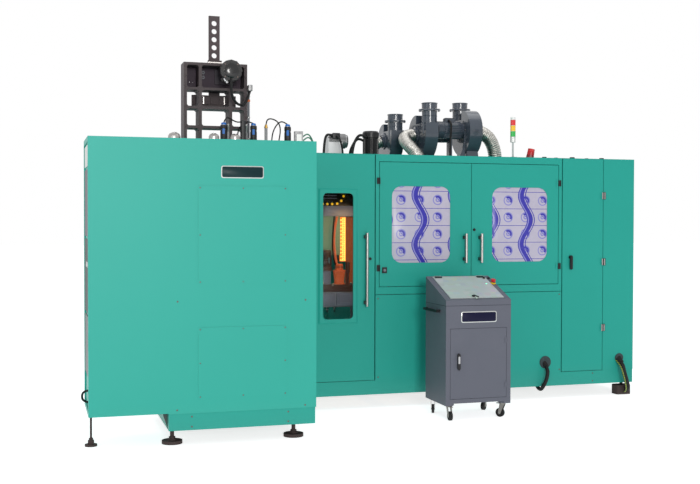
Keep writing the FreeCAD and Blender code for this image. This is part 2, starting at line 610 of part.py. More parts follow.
def tower_guides():
    # two guide rails on the back of the ribs and the block that steadies the bar
    y = front("towerFront + towerDeep")
    parts = []
    for rib in ("towerBay1", "towerBay2"):
        middle = left(f"towerLeft + {rib} + ribThick / 2")
        parts.append(slab(f"{middle} - guideWide / 2", f"{middle} + guideWide / 2", y,
                          f"{y} + guideThick", "towerShelf4 + shelfThick",
                          "towerShelf1 + shelfThick"))
    x0, x1 = left("barLeft - guideBlockWall"), left("barLeft + barWide + guideBlockWall")
    y0 = front("towerFront + towerDeep - 2 * guideBlockWall")
    y1 = f"{y} + guideThick + barThick + guideBlockWall + blockSlip"
    block = slab(x0, x1, y0, y1, "towerTop", "towerTop + guideBlockHigh")
    slot = slab(left("barLeft - blockSlip"), left("barLeft + barWide + blockSlip"),
                f"{y} + guideThick - blockSlip", f"{y} + guideThick + barThick + blockSlip",
                "towerTop - 1", "towerTop + guideBlockHigh + 1")
    parts.append(cut(block, slot))
    node("tower_guides", group(*parts))


def stretch_carriage():
    # lightened bar with round holes on a crosshead that runs on the two rails
    y0 = front("towerFront + towerDeep + guideThick")
    foot, top = HEAD_FOOT, f"{HEAD_FOOT} + headHigh"
    bar = slab(left("barLeft"), left("barLeft + barWide"), y0, f"{y0} + barThick", foot,
               "barTop")
    holes = [prism(left("barLeft + barWide / 2"), f"{y0} - 1",
                   f"barTop - barFirstHole - {i} * barPitch", 14, "barHoleR",
                   "barThick + 2", "y") for i in range(int(size("barHoles")))]
    x0 = "towerLeft + headSide"
    plate = slab(left(x0), left(f"{x0} + headWide"), y0, f"{y0} + barThick", foot, top)
    clamps = []
    for i in range(int(size("clampCount"))):
        middle = f"{x0} + headWide * {i + 0.5} / clampCount"
        clamps.append(slab(left(f"{middle} - clampWide / 2"), left(f"{middle} + clampWide / 2"),
                           f"{y0} - guideThick + 2", f"{y0} + 1",
                           f"{foot} + (headHigh - clampHigh) / 2",
                           f"{top} - (headHigh - clampHigh) / 2"))
    shoes, grooves = [], []
    for rib in ("towerBay1", "towerBay2"):
        middle = left(f"towerLeft + {rib} + ribThick / 2")
        shoes.append(slab(f"{middle} - shoeWide / 2", f"{middle} + shoeWide / 2",
                          f"{y0} - guideThick + 2", f"{y0} + 1", foot, top))
        grooves.append(slab(f"{middle} - guideWide / 2 - guideSlip",
                            f"{middle} + guideWide / 2 + guideSlip",
                            f"{y0} - guideThick - 1", f"{y0} + guideSlip", f"{foot} - 1",
                            f"{top} + 1"))
    node("stretch_carriage", cut(join(bar, plate, *clamps, *shoes), *holes, *grooves))


def servo_motor():
    # flanged neck on the back web and the drum in front of the ribs, with its connector
    neck = prism(left(SERVO_X), front("towerFront + 1"), SERVO_Z, 16, "servoNeckR",
                 "towerDeep - backThick - 1", "y")
    drum = prism(left(SERVO_X), front("towerFront - servoLong"), SERVO_Z, 24, "servoR",
                 "servoLong - turnGap", "y")
    plate = prism(left(SERVO_X), front("towerFront - 1"), SERVO_Z, 16, "servoNeckR",
                  "3 * turnGap + 2", "y")
    fitting = prism(left(f"{SERVO_X} - servoR * 0.7"), front("towerFront - fittingR"),
                    f"{SERVO_Z} - servoR * 0.74", 8, "fittingR", "fittingLong", "-y")
    node("servo_motor", join(neck, plate, drum, fitting))


# ---- air equipment and motors on the roof ------------------------------------------------
def air_receivers():
    # upright vessels with rounded heads, many-sided
    sides = int(size("barrelSides"))
    vessels = []
    for x, radius in (("domeX1", "domeR"), ("domeX2", "domeR * 0.84"),
                      ("domeX3", "domeR * 0.84")):
        wide, high = size(radius), size("domeHigh")
        loops = [[Vector(r * math.cos(2 * math.pi * k / sides),
                         r * math.sin(2 * math.pi * k / sides), z) for k in range(sides)]
                 for r, z in ((wide, 0), (wide, high - 0.6 * wide),
                              (wide * 0.8, high - 0.2 * wide), (wide * 0.4, high))]
        vessels.append(feature(faceted(loops, False), left(x), front("domeY"), "cabinetTop"))
    node("air_receivers", group(*vessels))


def air_valves():
    # manifold rail with filter bowls, silencers, a solenoid valve and a pressure switch
    x0, y0 = left("airLeft"), front("airY - airDeep / 2")
    top = "bodyTop + airHigh"
    pieces = [slab(x0, f"{x0} + airWide", y0, f"{y0} + airDeep", "bodyTop", top)]
    for x in ("bowlX1", "bowlX2", "bowlX3"):
        pieces.append(prism(left(x), front("airY"), top, 16, "bowlR", "bowlHigh"))
    for x, radius, high in (("silencerX1", "silencerR", "silencerHigh"),
                            ("silencerX2", "silencerR", "silencerHigh"),
                            ("nozzleX", "nozzleR", "nozzleHigh")):
        pieces.append(prism(left(x), front("airY"), top, 8, radius, high))
    for x, wide, high in (("solenoidX", "solenoidWide", "solenoidHigh"),
                          ("switchX", "switchWide", "switchHigh")):
        pieces.append(slab(left(f"{x} - {wide} / 2"), left(f"{x} + {wide} / 2"), y0,
                           f"{y0} + airDeep * 0.8", f"{top} - 1", f"{top} + {high}"))
    node("air_valves", join(*pieces))


def roof_motors():
    # geared motor lying on the roof and an upright lift motor beside it
    x, y = left("gearX"), front("motorY")
    box = slab(f"{x} - gearBox / 2", f"{x} + gearBox / 2", f"{y} - gearBox / 2",
               f"{y} + gearBox / 2", "bodyTop", "bodyTop + gearBox")
    drum = prism(f"{x} - gearBox / 2", y, "bodyTop + gearBox + motorR * 0.2",
                 size("barrelSides"), "motorR", "motorLong", "x")
    upright = prism(left("liftMotorX"), y, "bodyTop", size("barrelSides"), "liftMotorR",
                    "liftMotorHigh")
    node("roof_motors", group(join(box, drum), upright))


# ---- blowers ---------------------------------------------------------------------------
def spiral(tongue, mouth, way):
    # scroll outline about the fan axis: grows from the tongue over three quarters of a turn
    count = int(size("scrollSteps"))
    points = []
    for i in range(count + 1):
        radius = tongue + (mouth - tongue) * i / count
        angle = math.radians(90 + way * 270 * i / count)
        points.append(Vector(0, radius * math.cos(angle), radius * math.sin(angle)))
    return points


def barrel(radius, length, base, axis):
    # many-sided drum from a point along an axis
    sides = int(size("barrelSides"))
    across = axis.cross(Vector(0, 1, 0)).normalize()
    up = axis.cross(across)
    corners = [base + (across * math.cos(2 * math.pi * k / sides)
                       + up * math.sin(2 * math.pi * k / sides)) * radius
               for k in range(sides)]
    return Part.Face(Part.makePolygon([*corners, corners[0]])).extrude(axis * length)


def blower_housing(side, tongue, mouth, inlet, mouth_way, inlet_way):
    # sheet scroll on its edge: spiral of arcs, upright outlet pipe with flange, round inlet
    small, big = size(tongue), size(mouth)
    half, pipe = size("wheelWide") / 2, size("pipeR")
    rise = size(side + "PipeTop") - size(side + "FanZ")
    points = spiral(small, big, -mouth_way)
    edges = [Part.Arc(points[i], points[i + 1], points[i + 2]).toShape()
             for i in range(0, len(points) - 1, 2)]
    shoulder = small * 0.55
    corners = [points[-1], Vector(0, -mouth_way * big, shoulder), Vector(0, 0, shoulder),
               points[0]]
    edges += [Part.makeLine(a, b) for a, b in zip(corners, corners[1:])]
    scroll = Part.Face(Part.Wire(edges)).extrude(Vector(2 * half, 0, 0))
    scroll.translate(Vector(-half, 0, 0))
    centre = -mouth_way * (big - pipe)
    out, rising = Vector(inlet_way, 0, 0), Vector(0, 0, 1)
    rim = rise - size("rimLong")
    stack = [Part.makeCylinder(pipe - size("pipeStep"), rim + 1, Vector(0, centre, 0)),
             Part.makeCylinder(pipe, size("rimLong"), Vector(0, centre, rim)),
             barrel(size("pipeFlangeR"), size("pipeFlangeThick"), Vector(0, centre, rim),
                    rising),
             barrel(size(inlet), size("inletLong") + half, Vector(), out)]
    bore = barrel(pipe - size("pipeWall"), rise, Vector(0, centre, half), rising)
    throat = barrel(size(inlet) - size("inletWall"), size("inletLong") + 1, out * half, out)
    solid = scroll.multiFuse(stack).cut(bore).cut(throat).removeSplitter()
    shell = feature(solid, left(side + "FanX"), front(side + "FanY"), side + "FanZ")
    rest = f"{side}FanZ - bodyTop - {tongue} * 0.6"
    stand = drawn([("standFoot / 2", "0"), ("standFoot * 0.28", rest),
                   ("-standFoot * 0.28", rest), ("-standFoot / 2", "0")],
                  "wheelWide - 2 * standInset",
                  left(f"{side}FanX - wheelWide / 2 + standInset"),
                  front(side + "FanY"), "bodyTop")
    pieces = [shell, stand]
    if side == "right":
        # hollow-edged gusset on the motor's side, from the roof up the scroll
        edge = ((0, 0), (1, 0), (0.58, 0.12), (0.3, 0.34), (0.12, 0.66), (0.04, 1), (0, 1))
        points = [(f"-gussetReach * {across}" if across else "0",
                   f"gussetHigh * {up}" if up else "0") for across, up in edge]
        pieces.append(drawn(points, "gussetThick", left("rightFanX - wheelWide / 2 + 1"),
                            front("rightFanY - gussetNear"), "bodyTop", "XZ_Plane"))
    node("blower_housing_" + side, join(*pieces))


def blowers():
    blower_housing("left", "smallTongueR", "smallMouthR", "inletR", 1, -1)
    blower_housing("middle", "tongueR", "mouthR", "inletR", 1, -1)
    blower_housing("right", "tongueR", "mouthR", "bigInletR", -1, 1)


def fan_motor(x, y, z, radius, length, along):
    # drum with a wider cowl over its cooling fan
    way = -1 if along == "-x" else 1
    drum = prism(left(x), front(y), z, size("barrelSides"), f"{radius} - cowlStep", length,
                 along)
    cowl = prism(left(f"{x} + {way} * ({length} - cowlLong)"), front(y), z,
                 size("barrelSides"), radius, "cowlLong", along)
    return join(drum, cowl)


def blower_motors():
    a = fan_motor("leftFanX + wheelWide / 2", "leftFanY", "leftFanZ", "smallMotorR",
                  "smallMotorLong", "x")
    b = fan_motor("middleFanX + wheelWide / 2", "middleFanY", "middleFanZ", "smallMotorR",
                  "middleMotorLong", "x")
    c = fan_motor("rightFanX - wheelWide / 2", "rightFanY", "rightFanZ", "fanMotorR",
                  "fanMotorLong", "-x")
    box = slab(left("rightFanX - wheelWide / 2 - fanMotorLong / 2 - terminalLong / 2"),
               left("rightFanX - wheelWide / 2 - fanMotorLong / 2 + terminalLong / 2"),
               front("rightFanY - terminalHigh / 2"), front("rightFanY + terminalHigh / 2"),
               "rightFanZ + fanMotorR * 0.8", "rightFanZ + fanMotorR + terminalHigh * 0.5")
    cradle = slab(left("rightFanX - wheelWide / 2 - fanMotorLong / 2"),
                  left("rightFanX - wheelWide / 2 - fanMotorLong / 2 + standThick"),
                  front("rightFanY - cradleWide / 2"), front("rightFanY + cradleWide / 2"),
                  "bodyTop", "rightFanZ")
    node("blower_motors", group(a, b, join(c, box, cradle)))


def course(points, count, ends):
    # smooth route through the points in equal steps, its first and last step longer
    curve = Part.BSplineCurve()
    curve.interpolate(points)
    whole = curve.length() / (count - 2 + 2 * ends)
    marks = [(i - 1 + ends) * whole for i in range(1, count)]
    return [points[0], *[curve.value(curve.parameterAtDistance(mark)) for mark in marks],
            points[-1]]


def rings(path, heading, arrival, sides, radius, crests=()):
    # corners of a many-sided tube: mitred at each bend, square to its first and last faces;
    # crests are raised rings on a step
    runs = [(b - a).normalize() for a, b in zip(path, path[1:])]
    planes = [heading, *[(a + b).normalize() for a, b in zip(runs, runs[1:])], arrival]
    across = runs[0].cross(Vector(0.3, 0.5, 0.8)).normalize()
    up = runs[0].cross(across)
    spokes = [across * math.cos(2 * math.pi * (k + 0.5) / sides)
              + up * math.sin(2 * math.pi * (k + 0.5) / sides) for k in range(sides)]
    loops = []
    for i, run in enumerate([*runs, runs[-1]]):
        if i:
            before, plane = runs[i - 1], planes[i]
            ends = [spoke - before * (spoke.dot(plane) / before.dot(plane)) for spoke in spokes]
            loops.append([path[i] + end * radius for end in ends])
            spokes = [(end - run * end.dot(run)).normalize() for end in ends]
        else:
            loops.append([path[0] + (spoke - run * (spoke.dot(heading) / run.dot(heading)))
                          * radius for spoke in spokes])
        if 0 < i < len(runs) - 1:
            for share, reach in crests:
                middle = path[i] + (path[i + 1] - path[i]) * share
                loops.append([middle + spoke * reach for spoke in spokes])
    return loops


def faceted(loops, closed):
    # solid of flat faces through the rings, wrapped round on itself or capped at both ends
    pairs = list(zip(loops, loops[1:]))
    faces = [] if closed else [loops[0][::-1], loops[-1]]
    if closed:
        pairs.append((loops[-1], loops[0]))
    for one, other in pairs:
        faces += [[one[k - 1], one[k], other[k], other[k - 1]] for k in range(len(one))]
    shell = Part.Shell([Part.Face(Part.makePolygon([*face, face[0]])) for face in faces])
    solid = Part.Solid(shell)
    if solid.Volume < 0:
        solid.reverse()
    return solid


def tightest(path):
    # least radius of the bends along a route
    runs = [b - a for a, b in zip(path, path[1:])]
    return round(min((a.Length + b.Length) / 2 / max(a.getAngle(b), 1e-6)
                     for a, b in zip(runs, runs[1:])))


def ribbed(path, heading, arrival, radius):
    # flexible duct: a crest on each step of its route, and its bore
    sides = int(size("ductSides"))
    low = radius - size("ductRib")
    outer = rings(path, heading, arrival, sides, low,
                  ((0.32, low), (0.5, radius), (0.68, low)))
    inner = rings(path, heading, arrival, sides, low - size("ductWall"))
    return faceted(outer + inner[::-1], True)


def ducts():
    inlet, roof = size("wheelWide / 2 + inletLong"), size("bodyTop")
    for side, way, outer, route in DUCTS:
        x, y, z = (size(side + axis) for axis in ("FanX", "FanY", "FanZ"))
        start, heading = Vector(x + way * inlet, y, z), Vector(way, 0, 0)
        points = [start + Vector(way * across, deep, up - 1) * (z - roof)
                  for across, deep, up in route]
        path = course([start, *points], int(size("ribCount")) + 2, size("endStep"))
        shape = ribbed(path, heading, Vector(0, 0, -1), size(outer))
        print("duct", side, "length", round(sum((b - a).Length for a, b in zip(path, path[1:]))),
              "tightest bend", tightest(path))
        node("blower_duct_" + side, feature(shape, left("0"), front("0"), "0"))


def cord(points, heading, arrival, radius):
    # lead through its points as a many-sided tube; prints its radius, length and bend
    path = course([Vector(*p) for p in points], int(size("cordSteps")), 1)
    print("lead: radius", radius, "length",
          round(sum((b - a).Length for a, b in zip(path, path[1:]))), "tightest bend",
          tightest(path))
    loops = rings(path, Vector(*heading), Vector(*arrival), int(size("cordSides")), radius)
    return feature(faceted(loops, False), left("0"), front("0"), "0")


def leads():
    # each hangs from its port to the floor or back under the machine
    y, rail = size("cabinetDeep"), size("skirtFoot") + 4
    x, z = size(OVEN_RIGHT + " - grommetIn - 9"), size("grommetZ - 4")
    node("console_lead", cord(
        [(x, y + 24, z), (x + 3, y - 56, z - 42), (x - 2, y - 64, z - 112),
         (x - 24, y - 54, z - 186), (x - 42, y + 6, z - 262), (x - 48, y + 62, rail)],
        (0, -1, 0), (0, 0, 1), size("leadR")))
    x, z = size("machineLong - portIn + 5"), size("portZ - 2")
    foot = size("cabinetDeep + 6")
    supply = cord([(x, y + 24, z), (x + 4, y - 56, z - 44), (x + 18, y - 68, z - 124),
                   (x + 48, y - 64, z - 206), (x + 78, y - 40, z - 280),
                   (x + 92, foot, z - 296)], (0, -1, 0), (0, 1, 0), size("supplyR"))
    x, z = size("machineLong - portIn - 24"), size("portZ - 6")
    earth = cord([(x, y + 24, z), (x + 4, y - 72, z - 48), (x + 20, y - 100, z - 130),
                  (x + 44, y - 100, z - 214), (x + 78, y - 62, z - 298),
                  (x + 92, foot, z - 316)], (0, -1, 0), (0, 1, 0), size("earthR"))
    node("supply_leads", group(supply, earth))
    x = size("coverInset")
    node("side_cable_loop", cord(
        [(x, 250, 392), (x - 34, 255, 386), (x - 46, 270, 350), (x - 36, 286, 312),
         (x, 292, 300)], (-1, 0, 0), (1, 0, 0), size("sideLeadR")))
    x, y, z = size(SERVO_X), size("towerFront - servoLong"), size(SERVO_Z)
    post = size("towerLeft + towerWide")
    clip = size("towerShelf1")
    lead = cord([(x - 2, y, z - 46), (x - 4, y - 42, z - 92), (x - 8, y - 40, z - 158),
                 (x + 8, y - 22, z - 226), (x + 52, y + 2, z - 276), (x + 104, y + 26, z - 280),
                 (x + 140, y + 46, z - 244), (post + 15, y + 62, clip)],
                (0, -1, 0), (0, 0, 1), size("servoLeadR"))
    box = slab(left("towerLeft + towerWide"), left("towerLeft + towerWide + clipWide"),
               front("towerFront - clipDeep"), front("towerFront + clipDeep"), "towerShelf1",
               "towerShelf1 + clipHigh")
    conduit = prism(left("towerLeft + towerWide + clipWide / 2"),
                    front("towerFront + clipDeep / 2"), "bodyTop + flangeThick", 8,
                    "servoLeadR", "towerShelf1 - bodyTop - flangeThick")
    node("servo_cable", group(lead, join(box, conduit)))


# ---- signal tower and beacon --------------------------------------------------------------
def signals():
    x, y = left("signalX"), front("signalY")
    bracket = slab(f"{x} - signalBaseR", f"{x} + signalBaseR", f"{y} - signalBaseR",
                   f"{y} + signalBaseR", "bodyTop", "bodyTop + signalBaseHigh")
    stem = prism(x, y, "bodyTop + signalBaseHigh", 8, "signalPoleR", "signalPoleTop + 1")
    foot, sides = "bodyTop + signalBaseHigh + signalPoleTop", size("barrelSides")
    tube = prism(x, y, foot, sides, "lensR", "signalTubeHigh")
    lenses = [prism(x, y, f"{foot} + signalTubeHigh + {i} * lensHigh", sides, "lensR",
                    "lensHigh") for i in range(3)]
    cap = prism(x, y, f"{foot} + signalTubeHigh + 3 * lensHigh", sides, "lensR * 0.94",
                "signalCapHigh")
    lean = math.radians(size("beaconLean"))
    sine, cosine = round(math.sin(lean), 6), round(math.cos(lean), 6)
    tilt = Rotation(Vector(0, 1, 0), size("beaconLean"))
    base = prism("0", "0", "0", 12, "beaconR + 3", "beaconBase + beaconR")
    at(base, left(f"beaconX - beaconR * {sine}"), y, f"bodyTop - beaconR * {cosine}", tilt)
    under = slab(left("beaconX - 3 * beaconR"), left("beaconX + 3 * beaconR"),
                 front("signalY - 2 * beaconR"), front("signalY + 2 * beaconR"),
                 "bodyTop - 3 * beaconR", "bodyTop")
    node("signal_tower", group(join(bracket, stem, tube), cap, cut(base, under)))
    beacon = prism("0", "0", "0", sides, "beaconR", "beaconHigh")
    at(beacon, left(f"beaconX + beaconBase * {sine}"), y, f"bodyTop + beaconBase * {cosine}",
       tilt)
    node("signal_lenses", group(*lenses, beacon))


# ---- feet --------------------------------------------------------------------------------
def machine_feet():
    # levelling feet: disc, collar, lock nut and threaded stem, and a block under the right end
    rail = "skirtFoot + 4"
    feet = []
    for x, y in (("footLeftX", "frontFootY"), ("footRightX", "frontFootY"),
                 ("rearFootX", "rearFootY"), ("machineLong - endFootIn", "rearFootY")):
        x, y = left(x), front(y)
        feet.append(join(prism(x, y, "0", size("barrelSides"), "footR", "footHigh - 10"),
                         prism(x, y, "footHigh - 11", 12, "nutR + 8", "12"),
                         prism(x, y, "footHigh", 6, "nutR", "nutHigh"),
                         prism(x, y, "footHigh + nutHigh - 1", 12, "stemR",
                               f"{rail} - footHigh - nutHigh + 1")))
    x, y = "machineLong - endFootIn", "cabinetDeep + 6"
    block = slab(left(f"{x} - endFootWide / 2"), left(f"{x} + endFootWide / 2"),
                 front(y), front(f"{y} + endFootDeep"), "0", "endFootHigh")
    stem = prism(left(x), front(f"{y} + endFootDeep / 2"), "endFootHigh - 1", 12, "stemR",
                 f"{rail} - endFootHigh + 1")
    feet.append(join(rounded(block, "endFootRound", "z"), stem))
    x, y = left("rodFootX"), front("rodFootY")
    feet.append(join(prism(x, y, "0", 16, "rodFootR", "rodFootHigh"),
                     prism(x, y, "rodFootHigh - 1", 12, "rodFootR / 2", "rodFootTall"),
                     prism(x, y, "rodFootHigh + rodFootTall - 2", 6, "rodR + 7", "nutHigh"),
                     prism(x, y, "rodFootHigh + rodFootTall", 8, "rodR",
                           "coverFoot - rodFootHigh - rodFootTall")))
    node("machine_feet", group(*feet))


# ---- oven and blow station behind the doors --------------------------------------------------
def preform_conveyor():
    # transport beam on two legs with its row of preform spindles, and the sleepers below
    x0, x1 = left("beamLeft"), left(f"{OVEN_RIGHT} - beamShort")
    y0, y1 = front("beamY"), front("beamY + beamDeep")
    floor = "skirtFoot + 4 + railSize"
    pieces = [slab(x0, x1, y0, y1, "beamFoot", "beamFoot + beamHigh")]
    for x in ("beamLeft + legIn", f"{DOORS_MEET} + 5"):
        pieces.append(slab(left(x), left(f"{x} + pillarSize"), y0, y1, floor, "beamFoot"))
        pieces.append(slab(left(x), left(f"{x} + pillarSize"),
                           f"{BODY_FRONT} + panelThick + doorBack + postSize + seam",
                           f"{BODY_BACK} - wallThick - postSize - seam", floor,
                           f"{floor} + sleeperHigh"))
    for i in range(int(size("spindleCount"))):
        pieces.append(prism(left(f"spindleStart + {i} * spindlePitch"),
                            front("beamY + beamDeep / 2"), "beamFoot + beamHigh", 6,
                            "spindleR", "spindleHigh"))
    node("preform_conveyor", join(*pieces))


def lamp_banks():
    # reflector channel open to the front with a row of heater tubes one above the other
    x0, x1 = left("lampLeft"), left(f"{OVEN_RIGHT} - lampShort")
    y0, y1 = front("lampY"), front("lampY + lampDeep")
    z1 = "lampFoot + lampHigh"
    channel = cut(slab(x0, x1, y0, y1, "lampFoot", z1),
                  slab(f"{x0} - 1", f"{x1} + 1", f"{y0} - 1", f"{y1} - reflector",
                       "lampFoot + reflector", f"{z1} - reflector"))
    ends = [slab(start, f"{start} + reflector", y0, f"{y1} - 1", "lampFoot + 1",
                 f"{z1} - 1") for start in (x0, f"{x1} - reflector")]
    tubes = [prism(f"{x0} + reflector - 1", front("lampY + lampDeep / 2"),
                   f"lampFoot + lampHigh * {i + 0.5} / lampCount", 8, "lampR",
                   f"({x1}) - ({x0}) - 2 * reflector + 2", "x")
             for i in range(int(size("lampCount")))]
    posts = [slab(left(x), left(f"{x} + pillarSize / 2"), y1, f"{y1} + pillarSize / 2",
                  "skirtFoot + 4 + railSize + sleeperHigh", z1) for x in
             ("beamLeft + legIn + 20", f"{DOORS_MEET} + 25")]
    node("lamp_banks", join(channel, *ends, *tubes, *posts))


# ---- operator console ------------------------------------------------------------------------
def desk(text):
    return left(f"consoleX + {text}")


def desk_front(text):
    return front(f"consoleY + {text}")


RISE = "(consoleBack - consoleLip) / consoleDeep"


def on_slope(thing, across, up, above="0", turn=Rotation()):
    # seats a piece on the sloping desk: across it, up it, and above its face
    tilt = math.atan((size("consoleBack") - size("consoleLip")) / size("consoleDeep"))
    sine, cosine = round(math.sin(tilt), 9), round(math.cos(tilt), 9)
    return at(thing, desk(across), desk_front(f"({up}) * {cosine} - ({above}) * {sine}"),
              f"consoleLip + ({up}) * {sine} + ({above}) * {cosine}",
              Rotation(Vector(1, 0, 0), math.degrees(tilt)).multiply(turn))


def console_cabinet():
    low, deep = "consoleLip - deckBand", "consoleDeep"
    outer = drawn([("0", "consoleFoot"), (deep, "consoleFoot"),
                   (deep, "consoleBack - deckBand"), ("0", low)],
                  "consoleWide", desk("0"), desk_front("0"), "0")
    room = drawn([("sheetThick", "consoleFoot + trayFloor"),
                  ("consoleDeep - sheetThick", "consoleFoot + trayFloor"),
                  ("consoleDeep - sheetThick",
                   f"consoleBack - deckBand - sheetThick - sheetThick * {RISE}"),
                  ("sheetThick", f"{low} - sheetThick + sheetThick * {RISE}")],
                 "consoleWide - 2 * sheetThick", desk("sheetThick"), desk_front("0"), "0")
    under = slab(desk("sheetThick"), desk("consoleWide - sheetThick"),
                 desk_front("sheetThick"), desk_front("consoleDeep - sheetThick"),
                 "consoleFoot - 1", "consoleFoot + trayFloor - sheetThick")
    doorway = slab(desk("doorSide"), desk("consoleWide - doorSide"), desk_front("-1"),
                   desk_front("sheetThick + 1"), "consoleFoot + doorFoot",
                   "consoleFoot + doorFoot + doorHigh")
    arch = slab(desk("archSide"), desk("consoleWide - archSide"), desk_front("-1"),
                desk_front("sheetThick + 1"), "consoleFoot - 1", "consoleFoot + archHigh")
    shell = cut(outer, room, under, doorway, arch)
    plates = [slab(desk(f"{x} - plateSize / 2"), desk(f"{x} + plateSize / 2"),
                   desk_front(f"{y} - plateSize / 2"), desk_front(f"{y} + plateSize / 2"),
                   "consoleFoot", "consoleFoot + trayFloor - sheetThick + 1")
              for x in ("casterInset", "consoleWide - casterInset")
              for y in ("casterInset", "consoleDeep - casterInset")]
    bar = slab(desk("-sideBarOut"), desk("-sideBarOut + sideBarThick"),
               desk_front("sideBarNear"), desk_front("sideBarNear + sideBarLong"),
               "sideBarZ", "sideBarZ + sideBarHigh")
    lugs = [slab(desk("-sideBarOut + 1"), desk("1"), desk_front(y),
                 desk_front(f"{y} + sideBarHigh"), "sideBarZ", "sideBarZ + sideBarHigh")
            for y in ("sideBarNear", "sideBarNear + sideBarLong - sideBarHigh")]
    node("console_cabinet", join(shell, *plates, bar, *lugs))


def console_deck():
    deep = "consoleDeep"
    slabbed = drawn([("0", "consoleLip - deckBand"), (deep, "consoleBack - deckBand"),
                     (deep, "consoleBack"), ("0", "consoleLip")],
                    "consoleWide", desk("0"), desk_front("0"), "0")
    recess = block("consoleWide - 2 * lidSide - 16", "lidLong - 24", "2 * deckRecess")
    on_slope(recess, "lidSide + 8", "lidNear + 8", "-deckRecess")
    collar = rod("0", "0", "0", "collarR", "collarHigh + 1")
    on_slope(collar, "stopX", "stopUp", "-1")
    well = rod("0", "0", "0", "stopStemR + axleSlip", "collarHigh + 10")
    on_slope(well, "stopX", "stopUp", "-4")
    node("console_deck", cut(join(slabbed, collar), recess, well))


def console_lid():
    # clear plate with two hinge leaves and their pins at its back, and a latch at its front
    pieces = [on_slope(block("consoleWide - 2 * lidSide", "lidLong", "lidThick"), "lidSide",
                       "lidNear", "lidGap")]
    for x in ("lidSide + lidHingeSide", "consoleWide - lidSide - lidHingeSide - lidHingeWide"):
        leaf = block("lidHingeWide", "lidHingeLong", "lidHingeThick")
        pieces.append(on_slope(leaf, x, "lidPinUp - lidHingeLong", "lidGap + lidThick - 1"))
        pin = rod("0", "0", "0", "lidPinR", "lidHingeWide")
        pieces.append(on_slope(pin, x, "lidPinUp", "lidPinRise", ALONG["x"]))
    latch = block("latchWide", "latchLong", "latchThick")
    pieces.append(on_slope(latch, "latchX - latchWide / 2", "lidNear - latchLap",
                           "lidGap + lidThick - 1"))
    node("console_lid", join(*pieces))


def console_door():
    y = desk_front("0")
    x0, x1 = desk("doorSide + doorGap"), desk("consoleWide - doorSide - doorGap")
    z0 = "consoleFoot + doorFoot + doorGap"
    z1 = "consoleFoot + doorFoot + doorHigh - doorGap"
    outer = slab(x0, x1, y, f"{y} + consoleDoorThick", z0, z1)
    hollow = slab(f"{x0} + sheetThick", f"{x1} - sheetThick", f"{y} + sheetThick",
                  f"{y} + consoleDoorThick + 1", f"{z0} + sheetThick", f"{z1} - sheetThick")
    pins = []
    for z in (f"{z0} + doorPinInset", f"{z1} - doorPinInset - doorPinHigh"):
        pins.append(rod(f"{x1} + doorPinSide", f"{y} - doorPinOut", z, "doorPinR",
                        "doorPinHigh"))
        pins.append(slab(f"{x1} - lidHingeSide", f"{x1} + doorPinSide - 1",
                         f"{y} - doorPinOut - 1", f"{y} + 1", z, f"{z} + doorPinHigh"))
    node("console_door", join(cut(outer, hollow), *pins))
    x = desk("swingX")
    grip = slab(f"{x} - swingWide / 2", f"{x} + swingWide / 2",
                f"{y} - swingPivotLong - swingThick", f"{y} - swingPivotLong", "swingFoot",
                "swingFoot + swingLong")
    pivot = rod(x, f"{y} - swingPivotLong", "swingFoot + swingLong - swingWide / 2",
                "swingPivotR", "swingPivotLong - turnGap", "y")
    node("console_door_handle", join(rounded(grip, "swingRound", "y", "Part::Chamfer"), pivot))


def estop_button():
    # stem in the collar's bore and the palm head above it
    stem = rod("0", "0", "0", "stopStemR", "collarHigh + stopTravel")
    head = prism("0", "0", "0", size("barrelSides"), "stopR", "stopHigh")
    node("estop_button", join(on_slope(stem, "stopX", "stopUp", "2"),
                              on_slope(head, "stopX", "stopUp",
                                       "collarHigh + stopTravel + 1")))


CASTERS = (("casterInset", "casterInset", 180), ("consoleWide - casterInset", "casterInset", 40),
           ("casterInset", "consoleDeep - casterInset", 160),
           ("consoleWide - casterInset", "consoleDeep - casterInset", 130))


def casters():
    # fork with two legs under a ball-race hood, and its wheel on a fixed axle
    top = "-swivelGap"
    axle = "wheelR - consoleFoot"
    for i, (x, y, turn) in enumerate(CASTERS, 1):
        half = "wheelThick / 2 + wheelGap"
        pieces = [prism("0", "0", f"{top} - hoodHigh", 12, "hoodR", "hoodHigh")]
        for start in (half, f"-({half}) - legThick"):
            leg = drawn([("-hoodR + 4", f"{top} - hoodHigh + 1"), ("trail - hubR", axle),
                         ("trail - hubR * 0.6", f"{axle} - hubR"),
                         ("trail + hubR * 0.6", f"{axle} - hubR"), ("trail + hubR", axle),
                         ("hoodR - 4", f"{top} - hoodHigh + 1")], "legThick", start, "0", "0")
            pieces.append(leg)
        pieces.append(rod(f"-({half}) - 1", "trail", axle, "axleR", f"2 * ({half}) + 2", "x"))
        if i < 3:
            pieces.append(slab("-brakeWide / 2", "brakeWide / 2", "hoodR - 6",
                               "hoodR + brakeLong", f"{top} - hoodHigh + 1",
                               f"{top} - hoodHigh + 6"))
        rest = Rotation(Vector(0, 0, 1), turn)
        fork = at(join(*pieces), desk(x), desk_front(y), "consoleFoot", rest)
        node(f"caster_fork_{i}", fork)
        sine, cosine = round(math.sin(math.radians(turn)), 6), round(
            math.cos(math.radians(turn)), 6)
        bore = "axleR + axleSlip"
        tyre = prism("0", "0", "-wheelThick / 2", size("wheelSides"), "wheelR", "wheelThick")
        wheel = cut(tyre, rod("0", "0", "-wheelThick", bore, "2 * wheelThick"))
        at(wheel, desk(f"{x} - trail * ({sine})"), desk_front(f"{y} + trail * ({cosine})"),
           "wheelR", rest.multiply(ALONG["x"]))
        node(f"caster_wheel_{i}", wheel)


